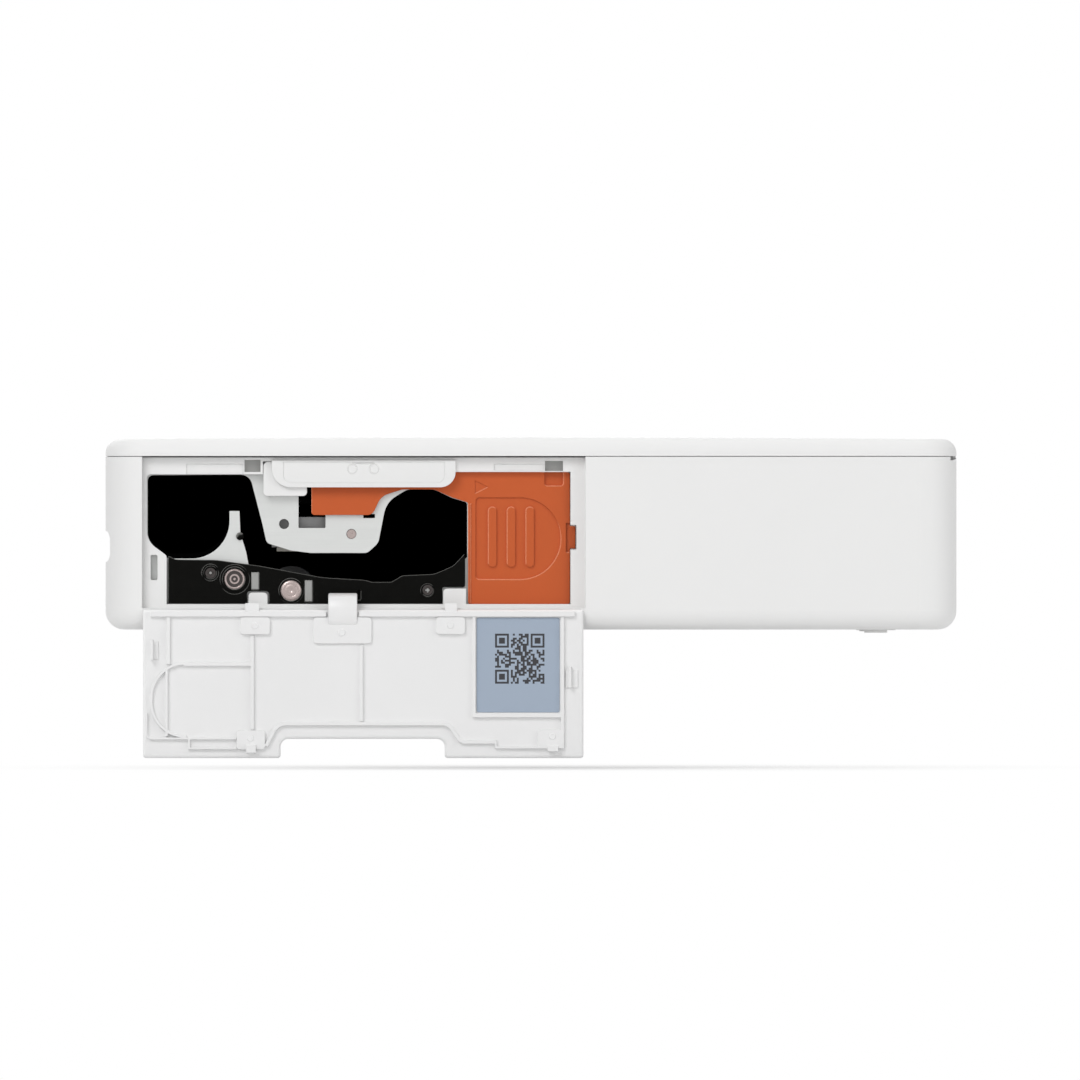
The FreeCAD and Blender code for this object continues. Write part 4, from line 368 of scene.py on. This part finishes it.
for corner_x, corner_z in ((0, 0), (CODE_CELLS - CORNER_CELLS, 0), (0, CODE_CELLS - CORNER_CELLS)):
    reach = []
    for axis, corner in (("X", corner_x), ("Z", corner_z)):
        off = chained(tree, "SUBTRACT", cell[axis], corner + CORNER_CELLS // 2)
        reach.append(chained(tree, "ABSOLUTE", off, 0.0))
    away = chained(tree, "MAXIMUM", *reach)
    near = chained(tree, "LESS_THAN", away, CORNER_REACH)
    core = chained(tree, "LESS_THAN", away, CORE_REACH)
    edge = chained(tree, "COMPARE", away, RING_AT)
    edge.node.inputs[2].default_value = RING_HALF
    drawn = chained(tree, "MAXIMUM", core, edge)
    beyond = chained(tree, "GREATER_THAN", away, CORNER_REACH)
    kept = chained(tree, "MULTIPLY", dark, beyond)
    shown = chained(tree, "MULTIPLY", drawn, near)
    dark = chained(tree, "ADD", kept, shown)
tree.links.new(chained(tree, "MULTIPLY", dark, *inside), out.inputs["Dark"])

# %% Finish: label paper
label_paper = finish("label paper", "moulded grain", {"Colour": (0.36, 0.43, 0.53), "Gloss": 0.5, "Grain": 3000.0})
tree = label_paper.node_tree
shader = tree.nodes["Principled BSDF"]
paper = shader.inputs["Base Color"].links[0].from_socket
squares = add(tree, "ShaderNodeGroup", node_tree=bpy.data.node_groups["chance squares"]).outputs["Dark"]
printed = add(tree, "ShaderNodeMix", {"Factor": squares, 6: paper, 7: (0.025, 0.025, 0.03, 1)}, data_type="RGBA")
tree.links.new(printed.outputs[2], shader.inputs["Base Color"])
FINISHES["paper_label"] = label_paper

# %% [markdown]
# Every CAD node takes the finish of its slot. Its mesh stays as it was imported.

# %% Finishes onto the nodes
slot_of = {part["node"]: part["material_slot"] for part in frame["record"]["subparts"]}
for name, item in frame["nodes"].items():
    for place in item.material_slots:
        place.material = FINISHES[slot_of[name]]

# %% [markdown]
# The other pieces are surfaces on a grid: rows of points times columns of points, worked out as
# whole arrays. One helper joins neighbours into faces and closes either direction on request.

# %% Grid surfaces
def surface(name, points, body, finish_slot, closed_rows=False, closed_columns=False, ends=False):
    """Mesh over a grid of points, rows by columns by 3, with closed directions and capped ends on request."""
    rows, columns = points.shape[:2]
    index = np.arange(rows * columns).reshape(rows, columns)
    if closed_rows:
        index = np.vstack([index, index[:1]])
    if closed_columns:
        index = np.hstack([index, index[:, :1]])
    quads = np.stack([index[:-1, :-1], index[1:, :-1], index[1:, 1:], index[:-1, 1:]], axis=-1).reshape(-1, 4)
    faces = quads.tolist()
    if ends:
        faces += [index[0, :columns].tolist(), index[-1, :columns][::-1].tolist()]
    mesh = bpy.data.meshes.new(name)
    mesh.from_pydata(points.reshape(-1, 3).tolist(), [], faces)
    built = bmesh.new()
    built.from_mesh(mesh)
    bmesh.ops.recalc_face_normals(built, faces=built.faces)
    built.to_mesh(mesh)
    built.free()
    mesh.polygons.foreach_set("use_smooth", np.ones(len(mesh.polygons), bool))
    mesh.set_sharp_from_angle(angle=math.radians(40))
    mesh.materials.append(FINISHES[finish_slot])
    piece = bpy.data.objects.new(name, mesh)
    bpy.context.scene.collection.objects.link(piece)
    if body:
        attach(piece, body)
    return piece


def turned(profile, centre, around=48):
    """Points of a profile of (radius, y) pairs turned once about the Y direction through a centre."""
    profile = np.asarray(profile, float)
    angle = np.linspace(0, 2 * math.pi, around, endpoint=False)[None, :]
    radius, level = profile[:, 0, None], profile[:, 1, None]
    return np.stack([
        centre[0] + radius * np.cos(angle), level + 0 * angle, centre[1] + radius * np.sin(angle)
    ], axis=-1)


def smooth_path(points, count):
    """Uniform Catmull-Rom curve through points: each span is the cubic whose end slopes are half the chords."""
    points = np.asarray(points, float)
    padded = np.vstack([2 * points[0] - points[1], points, 2 * points[-1] - points[-2]])
    along = np.linspace(0, len(points) - 1, count)
    span = np.minimum(along.astype(int), len(points) - 2)
    t = (along - span)[:, None]
    a, b, c, d = (padded[span + k] for k in range(4))
    return 0.5 * (2 * b + (c - a) * t + (2 * a - 5 * b + 4 * c - d) * t**2 + (3 * b - a - 3 * c + d) * t**3)


# %% [markdown]
# The strap is a moulded tongue of soft plastic that joins the cover to the printer, and bends when
# the cover turns. Its section is a rounded slab, carried along a curve over the bay's sill. Here it
# belongs to no body and keeps this one shape.

# %% Strap
def slab(path_yz, left, right, thickness, corner=5):
    """Rounded slab section carried along a (y, z) path, its width along X: rows follow the path."""
    step = np.gradient(path_yz, axis=0)
    step /= np.linalg.norm(step, axis=1, keepdims=True)
    normal = np.stack([-step[:, 1], step[:, 0]], axis=1)
    turn = np.linspace(-math.pi / 2, math.pi / 2, corner)
    half = thickness / 2
    right_side = np.stack([right - half + half * np.cos(turn), half * np.sin(turn)], axis=1)
    left_side = np.stack([left + half - half * np.cos(turn), -half * np.sin(turn)], axis=1)
    section = np.vstack([right_side, left_side])
    x = np.broadcast_to(section[None, :, 0], (len(path_yz), len(section)))
    yz = path_yz[:, None, :] + section[None, :, 1, None] * normal[:, None, :]
    return np.dstack([x, yz])


SILL_Y, SILL_Z = -51.2 * MM, row(608)
STRAP_LEFT, STRAP_RIGHT = col(328), col(357)
STRAP_THICKNESS, STRAP_ROWS = 0.5 * MM, 40
strap_points = [
    (SILL_Y + 2.75 * MM, SILL_Z + 1.2 * MM), (SILL_Y + 2.3 * MM, SILL_Z + 1.55 * MM),
    (SILL_Y + 1.3 * MM, SILL_Z + 2.15 * MM), (SILL_Y, SILL_Z + 2.3 * MM),
    (SILL_Y - 1.4 * MM, SILL_Z + 1.85 * MM), (SILL_Y - 2.1 * MM, SILL_Z + 0.6 * MM),
    (SILL_Y - 2.25 * MM, SILL_Z - 0.7 * MM), (SILL_Y - 2.2 * MM, SILL_Z - 1.7 * MM),
    (SILL_Y - 1.95 * MM, SILL_Z - 2.4 * MM), (SILL_Y - 1.5 * MM, SILL_Z - 2.85 * MM),
]
strap = surface(
    "hinge_strap", slab(smooth_path(strap_points, STRAP_ROWS), STRAP_LEFT, STRAP_RIGHT, STRAP_THICKNESS), None,
    "strap_plastic", closed_columns=True, ends=True
)
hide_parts("cover_strap")
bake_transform(strap)

# %% [markdown]
# Small round heads of pins stand on the cover's bosses and its clamp. A turned profile makes each,
# with a shallow dish in its middle.

# %% Round details on the cover
COVER_FACE = -52.5 * MM


def knob(name, column, line, radius_px, rise, base, body, finish_slot, dish=0.0):
    """Low domed or dished head on a face that looks toward -Y, from a turned profile."""
    radius = radius_px * PX_WIDE
    turn = np.linspace(0, math.pi / 2, 7)
    rim = 0.25 * radius
    profile = [(radius, base)]
    profile += list(zip(radius - rim + rim * np.cos(turn), base - rise * np.sin(turn)))
    profile += [(radius * share, base - rise + dish) for share in (0.5, 0.45, 0.02)]
    return surface(name, turned(profile, (col(column), row(line))), body, finish_slot, closed_columns=True, ends=True)


BOSS_FACE, CLAMP_FACE = COVER_FACE - 0.75 * MM, COVER_FACE - 0.55 * MM
BOSS_PINS_PX = [(254.8, 625.6), (450.5, 625), (250.3, 737.7), (552.5, 736.2)]
BOSS_PIN_PX, BOSS_PIN_RISE, BOSS_PIN_DISH = 3.5, 0.12 * MM, 0.05 * MM
FIXING_PX, FIXING_RISE, FIXING_DISH = 3.8, 0.2 * MM, 0.08 * MM
for number, (column, line) in enumerate(BOSS_PINS_PX):
    knob(f"boss_pin_{number}", column, line, BOSS_PIN_PX, BOSS_PIN_RISE, BOSS_FACE, "cassette_cover", "cover_plastic",
         BOSS_PIN_DISH)
knob("strap_fixing", 341.6, 632.4, FIXING_PX, FIXING_RISE, CLAMP_FACE, "cassette_cover", "cover_plastic", FIXING_DISH)

# %% [markdown]
# The two driven shafts end in turned faces. One has a bright rim and a bright inner ring with a groove
# between them; the groove's shade and the shade of its middle hole are painted as thin rings of
# blackened steel on the face. The other is plain with faint rings. Each bush ends in a black lip.
# Every one is a profile of (radius in pixels, height in millimetres) turned about the shaft.

# %% Shaft ends and screws
SHAFT_FACE = -48.25 * MM
FRAME_FACE = -48.3 * MM
WEDGE_FACE = -46.4 * MM


def turned_piece(name, centre_px, profile, base, body, finish_slot, ring=False):
    """Piece turned about a Y line through a photograph place; a ring's profile closes on itself."""
    spots = [(radius * PX_WIDE, base - level * MM) for radius, level in profile]
    points = turned(spots, (col(centre_px[0]), row(centre_px[1])))
    return surface(name, points, body, finish_slot, closed_rows=ring, closed_columns=True, ends=not ring)


CAPSTAN_PX, PLATEN_PX = (234, 579), (290.5, 590.5)
turned_piece("capstan_end", CAPSTAN_PX, [(10, 0), (10, 0.06), (9.6, 0.12), (8.6, 0.12), (8.2, 0.06), (0.3, 0.06)],
             SHAFT_FACE, "capstan", "steel")
# Painted shade: these two black rings stand for the shade in the capstan end's groove and middle hole.
turned_piece("capstan_groove_shade", CAPSTAN_PX, [(8.2, 0.05), (8.2, 0.08), (5, 0.08), (5, 0.05)], SHAFT_FACE, "capstan",
             "black_steel", ring=True)
turned_piece("capstan_hole_shade", CAPSTAN_PX, [(3.4, 0.05), (3.4, 0.08), (1.2, 0.08), (1.2, 0.05)], SHAFT_FACE, "capstan",
             "black_steel", ring=True)
turned_piece(
    "platen_end", PLATEN_PX,
    [(9.8, 0), (9.8, 0.06), (9.3, 0.12), (6.4, 0.12), (6.1, 0.1), (5.8, 0.12), (1.4, 0.12), (1, 0.08), (0.3, 0.08)],
    SHAFT_FACE, "platen", "steel"
)
for number, spot in enumerate((CAPSTAN_PX, PLATEN_PX)):
    turned_piece(f"bush_lip_{number}", spot, [(12.6, 0.05), (12.4, 0.2), (10.6, 0.2), (10.2, 0.13), (10.2, 0.05)],
                 SHAFT_FACE, "printer", "black_plastic", ring=True)
for number, (spot, head_px) in enumerate((((210, 572.8), 1.5), ((427.3, 590.4), 2.6))):
    turned_piece(f"screw_rim_{number}", spot, [(7.2, 0.0), (7, 0.14), (6.6, 0.14), (5.4, 0.0)], FRAME_FACE, "printer",
                 "black_plastic", ring=True)
    turned_piece(f"screw_middle_{number}", spot, [(head_px, 0), (head_px, 0.1), (0.8 * head_px, 0.16), (0.1, 0.16)],
                 FRAME_FACE, "printer", "dull_steel")
turned_piece("wedge_pin", (239.4, 536.3), [(3.9, 0), (3.9, 0.5), (3, 0.8), (1.6, 0.95), (0.1, 1)], WEDGE_FACE,
             "printer", "black_plastic")

# %% [markdown]
# Marks on the mouldings are raised lines a few hundredths high. Each is a rounded slab section
# carried round a closed outline in the face's plane.

# %% Raised lines
def raised_line(name, outline_px, base, width, rise, body, finish_slot):
    """Low ridge with a half-round section along a closed outline of photograph places on a -Y face."""
    spots = np.array([(col(column), row(line)) for column, line in outline_px])
    before, after = np.roll(spots, 1, axis=0), np.roll(spots, -1, axis=0)
    into, onward = spots - before, after - spots
    into /= np.linalg.norm(into, axis=1, keepdims=True)
    onward /= np.linalg.norm(onward, axis=1, keepdims=True)
    bisector = np.stack([-(into + onward)[:, 1], (into + onward)[:, 0]], axis=1)
    bisector /= np.linalg.norm(bisector, axis=1, keepdims=True)
    stretch = 1 / np.maximum(0.3, (bisector * np.stack([-into[:, 1], into[:, 0]], axis=1)).sum(axis=1))
    turn = np.linspace(0, math.pi, 7)
    across = np.cos(turn) * width / 2
    depth = base - np.sin(turn) * rise
    flat = spots[:, None, :] + across[None, :, None] * (bisector * stretch[:, None])[:, None, :]
    points = np.stack([flat[..., 0], np.broadcast_to(depth, flat.shape[:2]), flat[..., 1]], axis=-1)
    return surface(name, points, body, finish_slot, closed_rows=True, closed_columns=True)


def arc_px(column, line, radius, start, stop, count=24):
    """Photograph places along an arc, angles in degrees from the right, upward."""
    angle = np.radians(np.linspace(start, stop, count))
    return list(zip(column + radius * np.cos(angle), line - radius * np.sin(angle)))


LEVER_FACE, PANEL_FACE = -47.6 * MM, -49.6 * MM
lip_px = [(470.2, 504), (471.2, 504), (471.2, 603), (470.2, 603)]
raised_line("lever_lip", lip_px, LEVER_FACE, 0.16 * MM, 0.1 * MM, "lever", "orange_plastic")
for name, column in (("spool_mark_left", 352), ("spool_mark_right", 374)):
    raised_line(name, arc_px(column, 469, 4.6, 0, 345), PANEL_FACE, 0.22 * MM, 0.07 * MM, "printer", "white_inner")
raised_line(
    "ribbon_mark", [(352, 463), (374, 463), (374, 463.9), (352, 463.9)], PANEL_FACE, 0.12 * MM, 0.07 * MM, "printer",
    "white_inner"
)

# %% [markdown]
# The springs under the head and behind the lever are wound wire. A wire's section is carried along
# a helix, whose end turns lie closer together as a ground spring's do.

# %% Springs
def coil(name, start, stop, radius, wire, turns, body, finish_slot):
    """Tube round a helix: the angle runs evenly, and the pitch eases in at both ends."""
    start, stop = np.asarray(start, float), np.asarray(stop, float)
    axis = (stop - start) / np.linalg.norm(stop - start)
    side = np.cross(axis, (0, 1, 0) if abs(axis[1]) < 0.9 else (1, 0, 0))
    side /= np.linalg.norm(side)
    other = np.cross(axis, side)
    t = np.linspace(0, 1, int(turns * 20) + 1)
    eased = t - 0.1 * np.sin(2 * math.pi * t) / math.pi
    angle = 2 * math.pi * turns * t
    inset = wire * axis
    line = (start + inset) + eased[:, None] * (stop - start - 2 * inset)
    line += radius * (np.cos(angle)[:, None] * side + np.sin(angle)[:, None] * other)
    step = np.gradient(line, axis=0)
    step /= np.linalg.norm(step, axis=1, keepdims=True)
    out_way = np.cos(angle)[:, None] * side + np.sin(angle)[:, None] * other
    third = np.cross(step, out_way)
    turn = np.linspace(0, 2 * math.pi, 8, endpoint=False)
    points = line[:, None, :] + wire * (
        np.cos(turn)[None, :, None] * out_way[:, None, :] + np.sin(turn)[None, :, None] * third[:, None, :]
    )
    return surface(name, points, body, finish_slot, closed_columns=True, ends=True)


LEVER_COIL_RADIUS, LEVER_WIRE, LEVER_TURNS, LEVER_KEPT = 0.27 * MM, 0.07 * MM, 26, 0.8
HEAD_COIL_RADIUS, HEAD_WIRE, HEAD_TURNS, HEAD_KEPT = 1.15 * MM, 0.16 * MM, 4, 0.35
HEAD_COIL_INSET = 1.4 * MM
low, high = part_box("lever_spring")
middle = (low + high) / 2
lever_coil = coil("lever_coil", (low.x, middle.y, middle.z), (high.x, middle.y, middle.z), LEVER_COIL_RADIUS,
                  LEVER_WIRE, LEVER_TURNS, "printer", "steel")
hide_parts("lever_spring")
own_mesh(lever_coil)
low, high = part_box("head_springs")
for number, side in enumerate((-1, 1)):
    spring_x, spring_y = (low.x + high.x) / 2, side * (high.y - HEAD_COIL_INSET)
    wound = coil(f"head_coil_{number}", (spring_x, spring_y, low.z), (spring_x, spring_y, high.z), HEAD_COIL_RADIUS,
                 HEAD_WIRE, HEAD_TURNS, "printer", "steel")
    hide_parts("head_springs")
    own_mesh(wound)

# %% [markdown]
# The camera looks square on from the cassette side, and so far off with a long lens that the view
# is almost parallel, as the photograph's is.

# %% Camera
LENS = 1000.0
VIEW_WIDE = PHOTO_PX * (PX_WIDE + PX_HIGH) / 2
camera = bpy.data.objects.new("camera", bpy.data.cameras.new("camera"))
bpy.context.scene.collection.objects.link(camera)
camera.data.lens = LENS
away = VIEW_WIDE * LENS / camera.data.sensor_width
camera.location = (col(PHOTO_PX / 2), FRONT - away, row(PHOTO_PX / 2))
camera.rotation_euler = (math.pi / 2, 0, 0)
camera.data.clip_end = 100
bpy.context.scene.camera = camera

# %% [markdown]
# The floor lies just under the hanging cover. Below the object it is a pale surface that takes the
# shadow, partly mixed with white, and further off it turns into the background's white altogether, so
# the horizon all but disappears. Only the camera and mirrors see that white.

# %% Floor and background
floor_mesh = bpy.data.meshes.new("floor")
FLOOR_DROP, FADE_FROM, FADE_TO = 2 * MM, -0.1, 0.12
reach = 6.0
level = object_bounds()[0].z - FLOOR_DROP
corners = [(-reach, -reach, level), (reach, -reach, level), (reach, reach, level), (-reach, reach, level)]
floor_mesh.from_pydata(corners, [], [(0, 1, 2, 3)])
floor = bpy.data.objects.new("floor", floor_mesh)
bpy.context.scene.collection.objects.link(floor)
floor_paint = bpy.data.materials.new("pale floor")
floor_paint.use_nodes = True
tree = floor_paint.node_tree
tree.nodes.clear()
spot = add(tree, "ShaderNodeTexCoord").outputs["Object"]
flat = add(tree, "ShaderNodeVectorMath", {0: spot, 1: (1, 1, 0)}, operation="MULTIPLY").outputs[0]
far_off = add(tree, "ShaderNodeVectorMath", {0: flat}, operation="LENGTH").outputs["Value"]
fade = add(tree, "ShaderNodeMapRange", {"Value": far_off, "From Min": FADE_FROM, "From Max": FADE_TO},
           interpolation_type="SMOOTHSTEP").outputs["Result"]
paint = add(tree, "ShaderNodeBsdfDiffuse", {"Color": (0.93, 0.93, 0.93, 1)}).outputs[0]
white = add(tree, "ShaderNodeEmission", {"Color": (1, 1, 1, 1), "Strength": 1.0}).outputs[0]
ray = add(tree, "ShaderNodeLightPath").outputs
seen = add(tree, "ShaderNodeMath", {0: ray["Is Camera Ray"], 1: ray["Is Glossy Ray"]}, operation="MAXIMUM").outputs[0]
share = add(tree, "ShaderNodeMath", {0: seen, 1: fade}, operation="MULTIPLY").outputs[0]
mixed = add(tree, "ShaderNodeMixShader", {0: share, 1: paint, 2: white}).outputs[0]
add(tree, "ShaderNodeOutputMaterial", {"Surface": mixed})
floor_mesh.materials.append(floor_paint)

world = bpy.data.worlds.new("studio")
bpy.context.scene.world = world
world.use_nodes = True
tree = world.node_tree
tree.nodes.clear()
ray = add(tree, "ShaderNodeLightPath").outputs
seen = add(tree, "ShaderNodeMath", {0: ray["Is Camera Ray"], 1: ray["Is Glossy Ray"]}, operation="MAXIMUM").outputs[0]
seen = add(tree, "ShaderNodeMath", {0: seen, 1: ray["Is Transmission Ray"]}, operation="MAXIMUM").outputs[0]
plain = add(tree, "ShaderNodeBackground", {"Color": (1, 1, 1, 1), "Strength": 0.4}).outputs[0]
white = add(tree, "ShaderNodeBackground", {"Color": (1, 1, 1, 1), "Strength": 1.0}).outputs[0]
mixed = add(tree, "ShaderNodeMixShader", {0: seen, 1: plain, 2: white}).outputs[0]
add(tree, "ShaderNodeOutputWorld", {"Surface": mixed})

# %% [markdown]
# Four broad lamps: a key from the front and left, a fill from the right, one overhead that
# brightens the lid's rounded edge, and one behind that lights the back.

# %% Lamps
def lamp(name, place, size, power):
    """Square area lamp that faces the middle of the printer."""
    light = bpy.data.lights.new(name, "AREA")
    light.size = size
    light.energy = power
    holder = bpy.data.objects.new(name, light)
    bpy.context.scene.collection.objects.link(holder)
    holder.location = place
    back = holder.location.normalized()
    holder.rotation_euler = back.to_track_quat("Z", "Y").to_euler()
    return holder


lamp("key", (-0.5, -1.1, 0.7), 0.55, 5.6)
lamp("fill", (0.9, -0.9, 0.35), 0.9, 3.0)
lamp("top", (0.0, 0.1, 1.2), 0.9, 3.6)
lamp("rear", (-0.3, 1.1, 0.6), 0.9, 3.2)
bpy.context.scene.view_settings.view_transform = "Standard"
